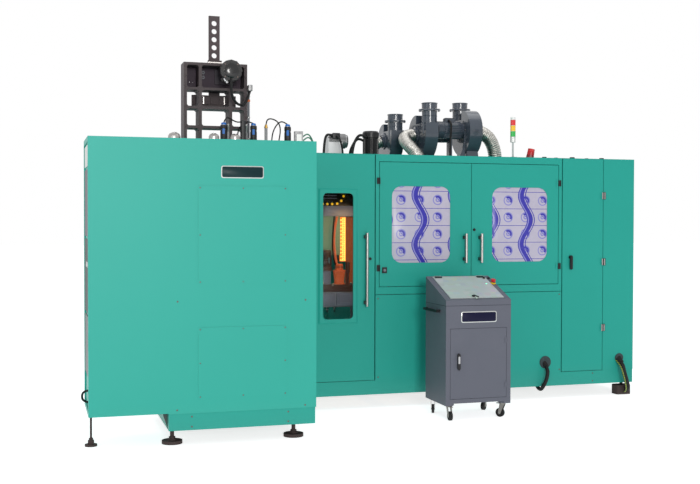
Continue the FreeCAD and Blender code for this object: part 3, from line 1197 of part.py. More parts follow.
doc.recompute()
base_frame()
body_frame()
body_roof()
body_panels()
skirt_plates()
fixed_front_panels()
cabinet_shell()
side_extension()
access_panels()
narrow_door()
oven_doors()
electrical_door()
door_hinges()
tower_frame()
tower_guides()
stretch_carriage()
servo_motor()
air_receivers()
air_valves()
roof_motors()
blowers()
blower_motors()
ducts()
leads()
signals()
machine_feet()
preform_conveyor()
lamp_banks()
console_cabinet()
console_deck()
console_lid()
console_door()
estop_button()
casters()
doc.recompute()

for thing in doc.Objects:
    if "Invalid" in thing.State or "Error" in thing.State:
        raise SystemExit(f"{thing.Label} ({thing.Name}) failed: {thing.State}")
os.makedirs("parts", exist_ok=True)
for thing in nodes:
    shape = thing.Shape
    if shape.isNull() or not shape.isValid():
        raise SystemExit(f"{thing.Label}: bad shape")
    shape.exportStep(f"parts/{thing.Label}.step")
    print(thing.Label, len(shape.Solids), round(shape.Volume / 1e6, 2), "dm3")
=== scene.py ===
import bpy
import numpy as np
from mathutils import Matrix, Vector


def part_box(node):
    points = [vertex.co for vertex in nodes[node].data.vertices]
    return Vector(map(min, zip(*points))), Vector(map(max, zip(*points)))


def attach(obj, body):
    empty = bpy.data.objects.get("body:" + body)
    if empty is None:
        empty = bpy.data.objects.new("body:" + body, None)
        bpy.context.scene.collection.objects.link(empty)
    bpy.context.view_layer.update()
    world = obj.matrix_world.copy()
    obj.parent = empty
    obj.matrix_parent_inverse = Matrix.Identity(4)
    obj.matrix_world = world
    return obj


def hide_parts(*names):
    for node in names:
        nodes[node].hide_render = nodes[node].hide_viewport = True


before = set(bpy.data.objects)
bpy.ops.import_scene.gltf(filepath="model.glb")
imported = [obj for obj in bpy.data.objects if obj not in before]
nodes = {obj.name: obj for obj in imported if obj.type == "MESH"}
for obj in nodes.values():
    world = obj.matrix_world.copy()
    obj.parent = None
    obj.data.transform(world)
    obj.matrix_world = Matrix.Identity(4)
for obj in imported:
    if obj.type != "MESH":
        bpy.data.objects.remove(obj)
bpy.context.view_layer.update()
scene = bpy.context.scene
print("frame loaded:", len(nodes), "nodes")

# places below are measured from the left end, the cabinet's front face and the floor
corner = np.array([-2.5, -1.3, 0.0])
bodyFront = 1.094  # front face of the long body
roof = 2.19  # top of its roof sheet
onRoof = roof + 0.0002  # what stands on the sheet keeps clear of it
hoseFoot = roof + 0.002  # hoses and cables end just above it

# camera: lens in pixels of the 700-pixel-wide picture, and where it stands
photoView = {"focal": 1043.1, "width": 700, "sensor": 36.0, "at": (-2.8728, -8.7442, 1.6163),
             "yaw": np.radians(16.97), "pitch": -0.0205, "roll": 0.0022}


def placeCamera(view):
    # forward comes from yaw and pitch; level and upright are turned about it by the roll
    yaw, pitch, roll = view["yaw"], view["pitch"], view["roll"]
    forward = np.array([np.sin(yaw) * np.cos(pitch), np.cos(yaw) * np.cos(pitch),
                        np.sin(pitch)])
    level = np.array([np.cos(yaw), -np.sin(yaw), 0])
    upright = np.cross(level, forward)
    right = level * np.cos(roll) + upright * np.sin(roll)
    above = upright * np.cos(roll) - level * np.sin(roll)
    lens = bpy.data.cameras.new("photoCamera")
    lens.sensor_width = view["sensor"]
    lens.lens = view["focal"] * view["sensor"] / view["width"]
    lens.clip_end = 200
    camera = bpy.data.objects.new("photoCamera", lens)
    turn = Matrix(np.column_stack([right, above, -forward]).tolist()).to_4x4()
    camera.matrix_world = Matrix.Translation(view["at"]) @ turn
    scene.collection.objects.link(camera)
    scene.camera = camera


placeCamera(photoView)


# finishes: shared effects are node groups, every finish has its own numbers
def linear(rgb):
    # screen values from 0 to 255 as amounts of light
    return [((c / 255 + 0.055) / 1.055) ** 2.4 if c > 10 else c / 255 / 12.92 for c in rgb]


def newGroup(name, inputs, outputs):
    # an empty node group; a value's length says what kind of socket it gets
    group = bpy.data.node_groups.new(name, "ShaderNodeTree")
    kinds = {1: "NodeSocketFloat", 3: "NodeSocketVector", 4: "NodeSocketColor"}
    for key, value in inputs.items():
        size = len(value) if isinstance(value, tuple) else 1
        made = group.interface.new_socket(name=key, in_out="INPUT", socket_type=kinds[size])
        made.default_value = value
    for key, size in outputs.items():
        group.interface.new_socket(name=key, in_out="OUTPUT", socket_type=kinds[size])
    return group, group.nodes.new("NodeGroupInput"), group.nodes.new("NodeGroupOutput")


def calc(tree, operation, *values):
    # one Math node; each value is a number or another node's output
    node = tree.nodes.new("ShaderNodeMath")
    node.operation = operation
    for i, value in enumerate(values):
        if isinstance(value, (int, float)):
            node.inputs[i].default_value = value
        else:
            tree.links.new(value, node.inputs[i])
    return node.outputs[0]


def blendColour(tree, amount, first, second):
    # first where the amount is 0, second where it is 1
    node = tree.nodes.new("ShaderNodeMix")
    node.data_type = "RGBA"
    tree.links.new(amount, node.inputs["Factor"])
    for socket, value in ((node.inputs[6], first), (node.inputs[7], second)):
        if isinstance(value, (tuple, list)):
            socket.default_value = (*value[:3], 1)
        else:
            tree.links.new(value, socket)
    return node.outputs[2]


def objectPlace(tree):
    # the object's own coordinates, whole and split into three
    place = tree.nodes.new("ShaderNodeTexCoord")
    split = tree.nodes.new("ShaderNodeSeparateXYZ")
    tree.links.new(place.outputs["Object"], split.inputs[0])
    return place.outputs["Object"], split.outputs


dustLook = {"rgb": (150, 146, 138), "fade": 3.2}  # gone at a height of 1 / fade metres


def surfaceEffect():
    # cloudy colour, uneven gloss, fine relief, and dust that gathers towards the floor
    group, inner, outer = newGroup(
        "surface", {"Base": (0.5, 0.5, 0.5, 1.0), "Second": (0.4, 0.4, 0.4, 1.0),
                    "Cloud": 2.0, "Grain": 400.0, "Stretch": (1.0, 1.0, 1.0), "Rough": 0.4,
                    "Spread": 0.1, "Relief": 0.1, "Dust": 0.0},
        {"Color": 4, "Roughness": 1, "Normal": 3})
    tree, link = group.nodes, group.links.new
    place, (_, _, high) = objectPlace(group)
    scaled = tree.new("ShaderNodeVectorMath")
    scaled.operation = "MULTIPLY"
    link(place, scaled.inputs[0])
    link(inner.outputs["Stretch"], scaled.inputs[1])
    cloud, grain = tree.new("ShaderNodeTexNoise"), tree.new("ShaderNodeTexNoise")
    cloud.inputs["Detail"].default_value = 5
    grain.inputs["Detail"].default_value = 3
    for noise, name in ((cloud, "Cloud"), (grain, "Grain")):
        link(scaled.outputs[0], noise.inputs["Vector"])
        link(inner.outputs[name], noise.inputs["Scale"])
    colour = blendColour(group, cloud.outputs["Fac"], inner.outputs["Base"],
                         inner.outputs["Second"])
    low = calc(group, "MULTIPLY_ADD", high, -dustLook["fade"], 1.0)
    low = calc(group, "MULTIPLY", calc(group, "MAXIMUM", low, 0.0), inner.outputs["Dust"])
    low = calc(group, "MULTIPLY", low, cloud.outputs["Fac"])
    colour = blendColour(group, low, colour, linear(dustLook["rgb"]))
    rough = calc(group, "MULTIPLY_ADD", grain.outputs["Fac"], inner.outputs["Spread"],
                 inner.outputs["Rough"])
    bump = tree.new("ShaderNodeBump")
    bump.inputs["Distance"].default_value = 0.001
    link(grain.outputs["Fac"], bump.inputs["Height"])
    link(inner.outputs["Relief"], bump.inputs["Strength"])
    for socket, name in ((colour, "Color"), (rough, "Roughness"), (bump.outputs[0], "Normal")):
        link(socket, outer.inputs[name])
    return group


surface = surfaceEffect()


def finish(name, rgb, second, rough=0.4, spread=0.12, metal=0.0, cloud=30, grain=300,
           relief=0.08, stretch=(1, 1, 1), coat=0.0, glow=None, clear=0.0, dust=0.0,
           sheen=0.5, bend=1.45):
    # colour drifts from rgb to second with the cloud; grain makes relief and spreads the gloss
    material = bpy.data.materials.new(name)
    material.use_nodes = True
    tree = material.node_tree
    shader = tree.nodes["Principled BSDF"]
    effect = tree.nodes.new("ShaderNodeGroup")
    effect.node_tree = surface
    for key, value in (("Base", (*linear(rgb), 1)), ("Second", (*linear(second), 1)),
                       ("Cloud", cloud), ("Grain", grain), ("Stretch", stretch),
                       ("Rough", rough), ("Spread", spread), ("Relief", relief),
                       ("Dust", dust)):
        effect.inputs[key].default_value = value
    for output, entry in (("Color", "Base Color"), ("Roughness", "Roughness"),
                          ("Normal", "Normal")):
        tree.links.new(effect.outputs[output], shader.inputs[entry])
    for key, value in (("Metallic", metal), ("Coat Weight", coat), ("IOR", bend),
                       ("Specular IOR Level", sheen), ("Transmission Weight", clear)):
        shader.inputs[key].default_value = value
    if glow:
        shader.inputs["Emission Color"].default_value = (*linear(glow[0]), 1)
        shader.inputs["Emission Strength"].default_value = glow[1]
    return material


def recolour(material, amount, colour):
    # lays a colour over what the finish has so far, as far as the amount says
    tree = material.node_tree
    entry = tree.nodes["Principled BSDF"].inputs["Base Color"]
    tree.links.new(blendColour(tree, amount, entry.links[0].from_socket, colour), entry)


def between(material, axis, low, high, rgb, metal=None):
    # another colour where the object coordinate lies between two planes; metal is 0 or 1 there
    tree = material.node_tree
    along = objectPlace(tree)[1][axis]
    inside = calc(tree, "MULTIPLY", calc(tree, "GREATER_THAN", along, low),
                  calc(tree, "LESS_THAN", along, high))
    recolour(material, inside, linear(rgb))
    if metal is not None:
        entry = tree.nodes["Principled BSDF"].inputs["Metallic"]
        before = entry.links[0].from_socket if entry.links else entry.default_value
        amount = (calc(tree, "MAXIMUM", before, inside) if metal
                  else calc(tree, "MULTIPLY", before, calc(tree, "SUBTRACT", 1.0, inside)))
        tree.links.new(amount, entry)
    return material


tealPaint = finish("tealPaint", (51, 169, 154), (47, 163, 148), rough=0.36, spread=0.1, cloud=1.1,
                   grain=520, relief=0.05, dust=0.12, sheen=0.25)
# a darker copy of the cabinet's teal for the long body: painted shade, where the body stands back
# from the cabinet's front and further right
shadedTeal = finish("shadedTeal", (38, 160, 146), (34, 154, 140), rough=0.36, spread=0.1, cloud=1.1,
                  grain=520, relief=0.05, dust=0.12, sheen=0.25)
consolePaint = finish("consolePaint", (100, 102, 113), (93, 96, 107), rough=0.42, cloud=6,
                      grain=700, relief=0.12, sheen=0.25)
blowerEnamel = finish("blowerEnamel", (70, 78, 90), (56, 64, 76), rough=0.16, cloud=5, grain=160,
                      relief=0.06, coat=0.4)
castPaint = finish("castPaint", (80, 70, 71), (66, 57, 60), rough=0.5, cloud=9, grain=260,
                   relief=0.22, sheen=0.3)
castShade = finish("castShade", (58, 51, 60), (48, 43, 51), rough=0.55, cloud=9, grain=260,
                   relief=0.2)
brushedSteel = finish("brushedSteel", (176, 172, 169), (148, 145, 143), rough=0.22, spread=0.16,
                      metal=1.0, relief=0.05, stretch=(1, 1, 0.1))
chromePlate = finish("chromePlate", (186, 186, 187), (150, 150, 152), rough=0.1, spread=0.06,
                     metal=1.0, cloud=20, grain=90, relief=0.03)
castAluminium = finish("castAluminium", (156, 156, 156), (112, 112, 114), rough=0.34, spread=0.2,
                       metal=0.85, cloud=40, grain=500, relief=0.2)
blackEnamel = finish("blackEnamel", (20, 20, 22), (13, 13, 15), rough=0.28, spread=0.15, cloud=12,
                     relief=0.1, sheen=0.35)
blackRubber = finish("blackRubber", (22, 22, 23), (15, 15, 16), rough=0.6, spread=0.15, grain=600,
                     relief=0.2, sheen=0.35)
blackPlastic = finish("blackPlastic", (22, 23, 27), (15, 15, 18), rough=0.36, grain=900,
                      relief=0.1, sheen=0.4)
rustedIron = finish("rustedIron", (70, 54, 52), (44, 37, 37), rough=0.66, spread=0.2, cloud=28,
                    grain=180, relief=0.5)
brassFitting = finish("brassFitting", (196, 160, 84), (160, 122, 60), rough=0.3, metal=0.9,
                      cloud=40, relief=0.1)
screwHead = finish("screwHead", (120, 104, 98), (84, 70, 70), rough=0.42, metal=0.5, cloud=60,
                   grain=500, relief=0.2)
greySteel = finish("greySteel", (122, 124, 130), (104, 106, 114), rough=0.42, cloud=7, grain=380,
                   relief=0.12)
frameEnamel = finish("frameEnamel", (46, 62, 62), (36, 50, 50), rough=0.5, cloud=6, relief=0.2,
                     dust=0.3)
clearGlass = finish("clearGlass", (236, 244, 243), (230, 240, 240), rough=0.03, spread=0.02,
                    cloud=1, grain=3, relief=0.01, clear=1.0, bend=1.08)
smokedGlass = finish("smokedGlass", (188, 188, 212), (178, 178, 204), rough=0.1, spread=0.1,
                     cloud=2, grain=10, relief=0.05)
silverEdge = finish("silverEdge", (206, 208, 206), (190, 192, 190), rough=0.26, metal=0.7,
                    cloud=20, grain=200, relief=0.05)
darkGreen = finish("darkGreen", (14, 46, 50), (11, 38, 42), rough=0.3, cloud=12, grain=90,
                   relief=0.03, sheen=0.2)
navyBlue = finish("navyBlue", (13, 14, 50), (9, 10, 42), rough=0.3, cloud=12, grain=90,
                  relief=0.03, sheen=0.2)
stopRed = finish("stopRed", (208, 28, 32), (184, 20, 24), rough=0.28, relief=0.04)
collarYellow = finish("collarYellow", (236, 200, 20), (222, 182, 16), rough=0.36, relief=0.04)
capBlue = finish("capBlue", (30, 112, 196), (24, 98, 180), rough=0.3, relief=0.04)
hoseGreen = finish("hoseGreen", (74, 138, 112), (60, 118, 96), rough=0.34, relief=0.06)
tieOrange = finish("tieOrange", (226, 112, 34), (200, 90, 24), relief=0.06)
ductFoil = finish("ductFoil", (222, 220, 214), (104, 101, 96), rough=0.2, spread=0.3, metal=1.0,
                  cloud=48, grain=130, relief=1.0)
clampSteel = finish("clampSteel", (168, 168, 166), (128, 128, 128), rough=0.24, metal=1.0,
                    cloud=24, grain=200)
lampGlow = finish("lampGlow", (255, 200, 90), (255, 150, 40), grain=60,
                  glow=((255, 214, 112), 1.5))
lampEmber = finish("lampEmber", (240, 140, 40), (210, 96, 20), grain=60,
                   glow=((246, 128, 22), 0.8))
# the next four finishes, and the grey one further down, glow though their parts are no lamps:
# painted light from the oven's heating lamps
paintedGlowBrown = finish("paintedGlowBrown", (126, 66, 40), (70, 38, 30), rough=0.5, cloud=14, grain=60,
                    relief=0.2, stretch=(6, 1, 0.6), glow=((120, 54, 28), 0.7))
paintedGlowOrange = finish("paintedGlowOrange", (176, 84, 46), (132, 60, 36), rough=0.36, cloud=12, grain=90,
                     relief=0.1, glow=((178, 78, 42), 0.55))
paintedGlowGreen = finish("paintedGlowGreen", (70, 118, 98), (104, 92, 66), rough=0.5, cloud=5, grain=60,
                    relief=0.1, glow=((76, 112, 88), 0.5))
paintedGlowDark = finish("paintedGlowDark", (58, 38, 34), (34, 24, 26), grain=90, relief=0.2,
                   glow=((62, 36, 28), 0.5))
glossBlack = finish("glossBlack", (9, 9, 11), (6, 6, 8), rough=0.14, spread=0.1, cloud=12,
                    grain=200, relief=0.05, coat=0.3)
grommetGrey = finish("grommetGrey", (58, 72, 74), (46, 58, 60), rough=0.55, cloud=20, relief=0.1,
                     sheen=0.3)
seamShade = finish("seamShade", (44, 46, 54), (36, 38, 46), rough=0.6, cloud=20, relief=0.05,
                   sheen=0.2)
# grey that glows though its parts are no lamps: painted light from the oven's lamps
paintedGlowGrey = finish("paintedGlowGrey", (96, 98, 108), (72, 72, 82), rough=0.42, cloud=8, grain=90,
                   relief=0.1, glow=((84, 84, 96), 0.5))
buttonGlow = finish("buttonGlow", (230, 180, 30), (210, 160, 20), grain=90,
                    glow=((226, 170, 24), 0.8))
ledGreen = finish("ledGreen", (120, 250, 170), (90, 240, 150), rough=0.2, cloud=9, grain=60,
                  glow=((90, 255, 160), 3.0))
print("finishes made")


def painted(names, material):
    # gives every slot of the named nodes one finish
    for name in names.split():
        for slot in nodes[name].material_slots:
            slot.material = material


painted("cabinet_shell access_panels side_extension", tealPaint)
# the long body's panels, doors and skirt take the darker copy of the teal, which is painted shade
painted("body_frame body_roof body_panels skirt_plates lower_cover_panel end_front_panel "
        "narrow_door left_oven_door right_oven_door electrical_door", shadedTeal)
painted("base_frame", frameEnamel)
painted("machine_feet", rustedIron)
# the webs of the tower are darker than the front edges of its ribs: painted shade in the recesses
# behind them
painted("tower_frame", between(castPaint.copy(), 1, 0.075, 0.2, (58, 46, 58)))
painted("stretch_carriage", castPaint)
painted("tower_guides air_receivers", brushedSteel)
painted("air_valves", castAluminium)
painted("servo_motor door_hinges door_lever", blackEnamel)
# the geared motor, left of the upright one, is bare aluminium
painted("roof_motors", between(blackEnamel.copy(), 0, -0.345, -0.15, (176, 177, 178), metal=1))
painted("blower_housing_left blower_housing_middle blower_housing_right blower_motors",
        blowerEnamel)
painted("preform_conveyor lamp_banks", greySteel)
painted("narrow_window", clearGlass)
painted("left_window right_window", smokedGlass)
painted("console_deck console_door", consolePaint)
# the bar on the console's left side is black
painted("console_cabinet", between(consolePaint.copy(), 0, 0.2, 0.3117, (24, 24, 26)))
painted("console_door_handle", blackPlastic)
painted("estop_button", stopRed)
# bright bars whose stand-off blocks, behind and left of the bar, are black
for name, bar in (("long_handle", -0.125), ("left_handle", 0.7955), ("right_handle", 0.9445)):
    handle = between(brushedSteel.copy(), 1, -0.2325, 0.0, (22, 22, 24), metal=0)
    painted(name, between(handle, 0, bar - 0.04, bar - 0.0121, (22, 22, 24), metal=0))
casterSteel = finish("casterSteel", (142, 140, 136), (104, 102, 99), rough=0.3, metal=0.8,
                     grain=200)
for number in "1234":
    painted(f"caster_fork_{number}", casterSteel)
    painted(f"caster_wheel_{number}", blackRubber)
# three lenses one above another, and the leaning beacon beyond them
lensPlastic = finish("lensPlastic", (40, 190, 84), (30, 170, 70), rough=0.16, grain=120,
                     relief=0.03, coat=0.5)
between(lensPlastic, 2, 2.44, 2.492, (250, 196, 30))
between(lensPlastic, 2, 2.492, 2.6, (226, 30, 34))
painted("signal_lenses", between(lensPlastic, 0, 1.45, 2.0, (216, 34, 34)))
signalMetal = between(silverEdge.copy(), 2, 2.15, 2.338, (188, 190, 190), metal=0)
between(signalMetal, 2, 2.543, 2.6, (232, 234, 232), metal=0)
painted("signal_tower", between(signalMetal, 0, 1.45, 2.0, (130, 16, 22), metal=0))


def lidFinish():
    # milky plastic with faint blocks of colour, square cells of noise, from the screen under it
    material = finish("milkyLid", (190, 197, 194), (178, 186, 184), rough=0.14, spread=0.1,
                      cloud=3, grain=30, relief=0.03, coat=0.1, sheen=0.3)
    tree = material.node_tree
    cells = tree.nodes.new("ShaderNodeTexVoronoi")
    cells.distance = "CHEBYCHEV"
    cells.inputs["Scale"].default_value = 16
    cells.inputs["Randomness"].default_value = 0.7
    tree.links.new(objectPlace(tree)[0], cells.inputs["Vector"])
    patch = calc(tree, "LESS_THAN", cells.outputs["Distance"], 0.42)
    recolour(material, calc(tree, "MULTIPLY", patch, 0.09), cells.outputs["Color"])
    return material


painted("console_lid", lidFinish())
print("nodes finished")


# shapes: every piece is a set of point grids, worked out as whole arrays
def unit(way):
    # the same direction with length 1
    way = np.array(way, float)
    return way / np.linalg.norm(way)


def fullTurn(count):
    # equal steps of angle round a whole circle
    return np.linspace(0, 2 * np.pi, count, endpoint=False)


def circle(turn):
    # cosine, sine pairs
    return np.column_stack([np.cos(turn), np.sin(turn)])


def around(count, radius, first=0):
    # places at equal turns on a circle of the radius, from the first angle in degrees
    return radius * circle(np.radians(first + np.arange(count) * 360 / count))


class Piece:
    # gathers grids of several finishes into one mesh that rides on a body
    def __init__(self, name, body="machine", slot=None):
        self.name, self.body, self.slot = name, body, slot
        self.points, self.faces, self.kinds, self.materials = [], [], [], []
        self.count = 0

    def grid(self, rows, material):
        # closed skin: each ring of a rows x columns x 3 array is joined to the next and the
        # end rings are covered; it is turned right side out by the sign of its volume
        rings, columns = rows.shape[:2]
        near = np.arange(rings * columns).reshape(rings, columns)
        quads = np.stack([near[:-1], np.roll(near, -1, 1)[:-1], np.roll(near, -1, 1)[1:],
                          near[1:]], axis=-1).reshape(-1, 4)
        flat = rows.reshape(-1, 3)
        middle = flat.mean(0)
        a, b, c, d = (flat[quads[:, i]] - middle for i in range(4))
        volume = np.einsum("ij,ij->", a, np.cross(b, c) + np.cross(c, d))
        for sign, ring in ((-1, near[0]), (1, near[-1])):
            end = flat[ring] - middle
            cover = np.cross(np.roll(end, -1, 0), end.mean(0))
            volume += sign * np.einsum("ij,ij->", end, cover)
        faces = quads.tolist() + [near[0][::-1].tolist(), near[-1].tolist()]
        if volume < 0:
            faces = [face[::-1] for face in faces]
        if material not in self.materials:
            self.materials.append(material)
        self.faces += [[i + self.count for i in face] for face in faces]
        self.kinds += [self.materials.index(material)] * len(faces)
        self.points.append(flat)
        self.count += len(flat)
        return self

    def turned(self, profile, base, way, material, count=32):
        # base + way * height + radius * (cos a * side + sin a * up), for radius, height pairs
        radii, heights = np.array(profile, float).T
        way = unit(way)
        side = unit(np.cross(way, (0, 0, 1) if abs(way[2]) < 0.9 else (0, 1, 0)))
        up = np.cross(way, side)
        turn = fullTurn(count)[:, None]
        ring = np.cos(turn) * side + np.sin(turn) * up
        rows = (np.array(base, float) + heights[:, None, None] * way
                + np.maximum(radii, 1e-5)[:, None, None] * ring)
        return self.grid(rows, material)

    def carried(self, outline, levels, base, axes, material):
        # an outline of across, up pairs pulled in along its normals by each level's inset and
        # lifted to the level's height; axes are the directions of across, up and height
        outline = np.array(outline, float)
        along = np.roll(outline, -1, 0) - np.roll(outline, 1, 0)
        normal = np.column_stack([along[:, 1], -along[:, 0]])
        normal /= np.maximum(np.linalg.norm(normal, axis=1, keepdims=True), 1e-9)
        area = np.sum(outline[:, 0] * np.roll(outline[:, 1], -1)
                      - outline[:, 1] * np.roll(outline[:, 0], -1))
        normal *= np.sign(area)
        levels = np.array(levels, float)
        flat = outline[None] - levels[:, 1, None, None] * normal[None]
        axes = np.array(axes, float)
        rows = (np.array(base, float) + flat[..., :1] * axes[0] + flat[..., 1:] * axes[1]
                + levels[:, 0, None, None] * axes[2])
        return self.grid(rows, material)

    def block(self, low, high, material, edge=0.002, axis=2):
        # rounded rectangle carried over four heights along an axis, its ends pulled in by the
        # edge
        low, high = np.array(low, float), np.array(high, float)
        half, middle = (high - low) / 2, (high + low) / 2
        edge = min(edge, half.min() * 0.6)
        a, b = [i for i in range(3) if i != axis]
        levels = [(-half[axis], edge), (-half[axis] + edge, 0), (half[axis] - edge, 0),
                  (half[axis], edge)]
        return self.carried(roundedOutline(half[a], half[b], edge, 3), levels, middle,
                            np.eye(3)[[a, b, axis]], material)

    def hose(self, route, radius, material, count=14, steps=40):
        # circle carried along the smooth line through the route
        line = smoothLine(route, steps)
        side, up = crossFrames(line)
        turn = fullTurn(count)[None, :, None]
        return self.grid(line[:, None] + radius * (np.cos(turn) * side[:, None]
                                                   + np.sin(turn) * up[:, None]), material)

    def made(self, angle=35, replaces=()):
        # all grids as one smooth mesh, sharp past the angle, that rides on the piece's body
        mesh = bpy.data.meshes.new(self.name)
        mesh.from_pydata((np.vstack(self.points) + corner).tolist(), [], self.faces)
        for material in self.materials:
            mesh.materials.append(material)
        mesh.polygons.foreach_set("material_index", self.kinds)
        mesh.shade_smooth()
        mesh.set_sharp_from_angle(angle=np.radians(angle))
        thing = bpy.data.objects.new(self.name, mesh)
        scene.collection.objects.link(thing)
        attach(thing, self.body)
        if replaces:
            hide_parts(*replaces)


def roundedOutline(halfWide, halfHigh, radius, steps=6):
    # quarter circles of the radius about four corner centres, one after another
    turn = (np.radians([0, 90, 180, 270])[:, None] + np.linspace(0, np.pi / 2, steps)).ravel()
    signs = np.repeat([[1, 1], [-1, 1], [-1, -1], [1, -1]], steps, axis=0)
    centre = signs * (np.array([halfWide, halfHigh]) - radius)
    return centre + radius * circle(turn)


def smoothLine(route, steps):
    # natural cubic through the route: its second derivatives solve one linear system, and
    # the line is read again at equal steps of its own length
    route = np.array(route, float)
    gaps = np.linalg.norm(np.diff(route, axis=0), axis=1)
    reach = np.concatenate([[0], np.cumsum(gaps)])
    count = len(route)
    system, pull = np.eye(count), np.zeros_like(route)
    inner = np.arange(1, count - 1)
    system[inner, inner - 1] = gaps[:-1]
    system[inner, inner] = 2 * (gaps[:-1] + gaps[1:])
    system[inner, inner + 1] = gaps[1:]
    pull[1:-1] = 6 * np.diff(np.diff(route, axis=0) / gaps[:, None], axis=0)
    bend = np.linalg.solve(system, pull)
    at = np.linspace(0, reach[-1], steps * 8)
    i = np.clip(np.searchsorted(reach, at, side="right") - 1, 0, count - 2)
    gap = gaps[i]
    after = ((at - reach[i]) / gap)[:, None]
    before = 1 - after
    line = (before * route[i] + after * route[i + 1]
            + ((before ** 3 - before) * bend[i] + (after ** 3 - after) * bend[i + 1])
            * (gap ** 2)[:, None] / 6)
    far = np.concatenate([[0], np.cumsum(np.linalg.norm(np.diff(line, axis=0), axis=1))])
    even = np.linspace(0, far[-1], steps)
    return np.column_stack([np.interp(even, far, line[:, k]) for k in range(3)])


def crossFrames(line):
    # tangents by central differences, crossed with the direction they keep nearest square to
    tangent = np.gradient(line, axis=0)
    tangent /= np.linalg.norm(tangent, axis=1, keepdims=True)
    steady = np.linalg.svd(tangent)[2][-1]
    side = np.cross(tangent, steady)
    side /= np.linalg.norm(side, axis=1, keepdims=True)
    return side, np.cross(tangent, side)


left, right, front, back = (-1, 0, 0), (1, 0, 0), (0, -1, 0), (0, 1, 0)
skyward, downward = (0, 0, 1), (0, 0, -1)
frontAxes = (right, skyward, front)
topAxes = (right, back, skyward)


# leads: smooth NURBS lines with the route's points as their control points
def lead(name, route, radius, material, node):
    curve = bpy.data.curves.new(name, "CURVE")
    curve.dimensions = "3D"
    curve.bevel_depth = radius
    curve.bevel_resolution = 5
    curve.resolution_u = 16
    curve.use_fill_caps = True
    spline = curve.splines.new("NURBS")
    spline.points.add(len(route) - 1)
    places = np.column_stack([np.array(route) + corner, np.ones(len(route))])
    spline.points.foreach_set("co", places.ravel())
    spline.order_u = 3
    spline.use_endpoint_u = True
    curve.materials.append(material)
    thing = bpy.data.objects.new(name, curve)
    scene.collection.objects.link(thing)
    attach(thing, "machine")
    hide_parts(node)


earthStripe = finish("earthStripe", (160, 164, 46), (146, 150, 40))


def stripe(material, rgb, width, lean):
    # bands that climb the lead: the second colour lies where the fraction of
    # (height + lean * across) / (2 * width) is over one half
    tree = material.node_tree
    _, (across, _, high) = objectPlace(tree)
    climb = calc(tree, "ADD", high, calc(tree, "MULTIPLY", across, lean))
    band = calc(tree, "GREATER_THAN",
                calc(tree, "FRACT", calc(tree, "MULTIPLY", climb, 0.5 / width)), 0.5)
    recolour(material, band, linear(rgb))


stripe(earthStripe, (40, 92, 56), 0.007, 0.6)
leads = {
    "consoleLead": {"radius": 0.017, "node": "console_lead", "material": blackRubber, "route": (
        (4.086, 1.118, 0.328), (4.089, 1.038, 0.286), (4.084, 1.03, 0.216),
        (4.062, 1.04, 0.142), (4.044, 1.1, 0.066), (4.038, 1.156, 0.117))},
    "supplyLead": {"radius": 0.022, "node": "supply_leads", "material": blackRubber, "route": (
        (4.85, 1.118, 0.342), (4.854, 1.038, 0.298), (4.868, 1.026, 0.218),
        (4.898, 1.03, 0.136), (4.928, 1.054, 0.062), (4.942, 1.1, 0.046))},
    "earthLead": {"radius": 0.006, "node": "supply_leads", "material": earthStripe, "route": (
        (4.821, 1.118, 0.338), (4.825, 1.022, 0.29), (4.841, 0.994, 0.208),
        (4.865, 0.994, 0.124), (4.899, 1.032, 0.04), (4.913, 1.1, 0.022))},
    "sideLoop": {"radius": 0.008, "node": "side_cable_loop", "material": blackRubber, "route": (
        (0.012, 0.25, 0.392), (-0.022, 0.255, 0.386), (-0.034, 0.27, 0.35),
        (-0.024, 0.286, 0.312), (0.012, 0.292, 0.3))},
    "servoCable": {"radius": 0.011, "node": "servo_cable", "material": blackRubber, "route": (
        (1.214, 1.154, 2.812), (1.212, 1.112, 2.766), (1.208, 1.114, 2.7),
        (1.224, 1.132, 2.632), (1.268, 1.156, 2.582), (1.32, 1.18, 2.578),
        (1.356, 1.2, 2.614), (1.386, 1.216, 2.702))}}
for name, facts in leads.items():
    lead(name, **facts)

# clip box, conduit and tie that take the servo's cable down the right post
servoRun = {"box": ((1.371, 1.19, 2.702), (1.405, 1.31, 2.754)),
            "band": ((1.369, 1.2, 2.72), (1.407, 1.3, 2.736)), "conduit": (1.388, 1.28),
            "radius": 0.011, "foot": 2.206, "top": 2.702, "rings": 120,
            "clamps": (2.3, 2.48, 2.66), "tie": 2.62}
piece = Piece("servoConduit", slot="black_sheath")
piece.block(*servoRun["box"], castAluminium, 0.004)
piece.block(*servoRun["band"], clampSteel)
heights = np.linspace(servoRun["foot"], servoRun["top"], servoRun["rings"])
wave = np.cos(np.arange(servoRun["rings"]) * np.pi / 1.5)
ripple = servoRun["radius"] * (0.93 + 0.07 * wave)
piece.turned(np.column_stack([ripple, heights]), (*servoRun["conduit"], 0), skyward, greySteel,
             14)
for high in servoRun["clamps"]:
    piece.turned([(0.0125, 0), (0.0135, 0.003), (0.0135, 0.011), (0.0125, 0.014)],
                 (*servoRun["conduit"], high), skyward, clampSteel, 20)
piece.turned([(0.0125, 0), (0.0142, 0.004), (0.0142, 0.014), (0.0125, 0.018)],
             (*servoRun["conduit"], servoRun["tie"]), skyward, tieOrange, 20)
piece.made(replaces=("servo_cable",))

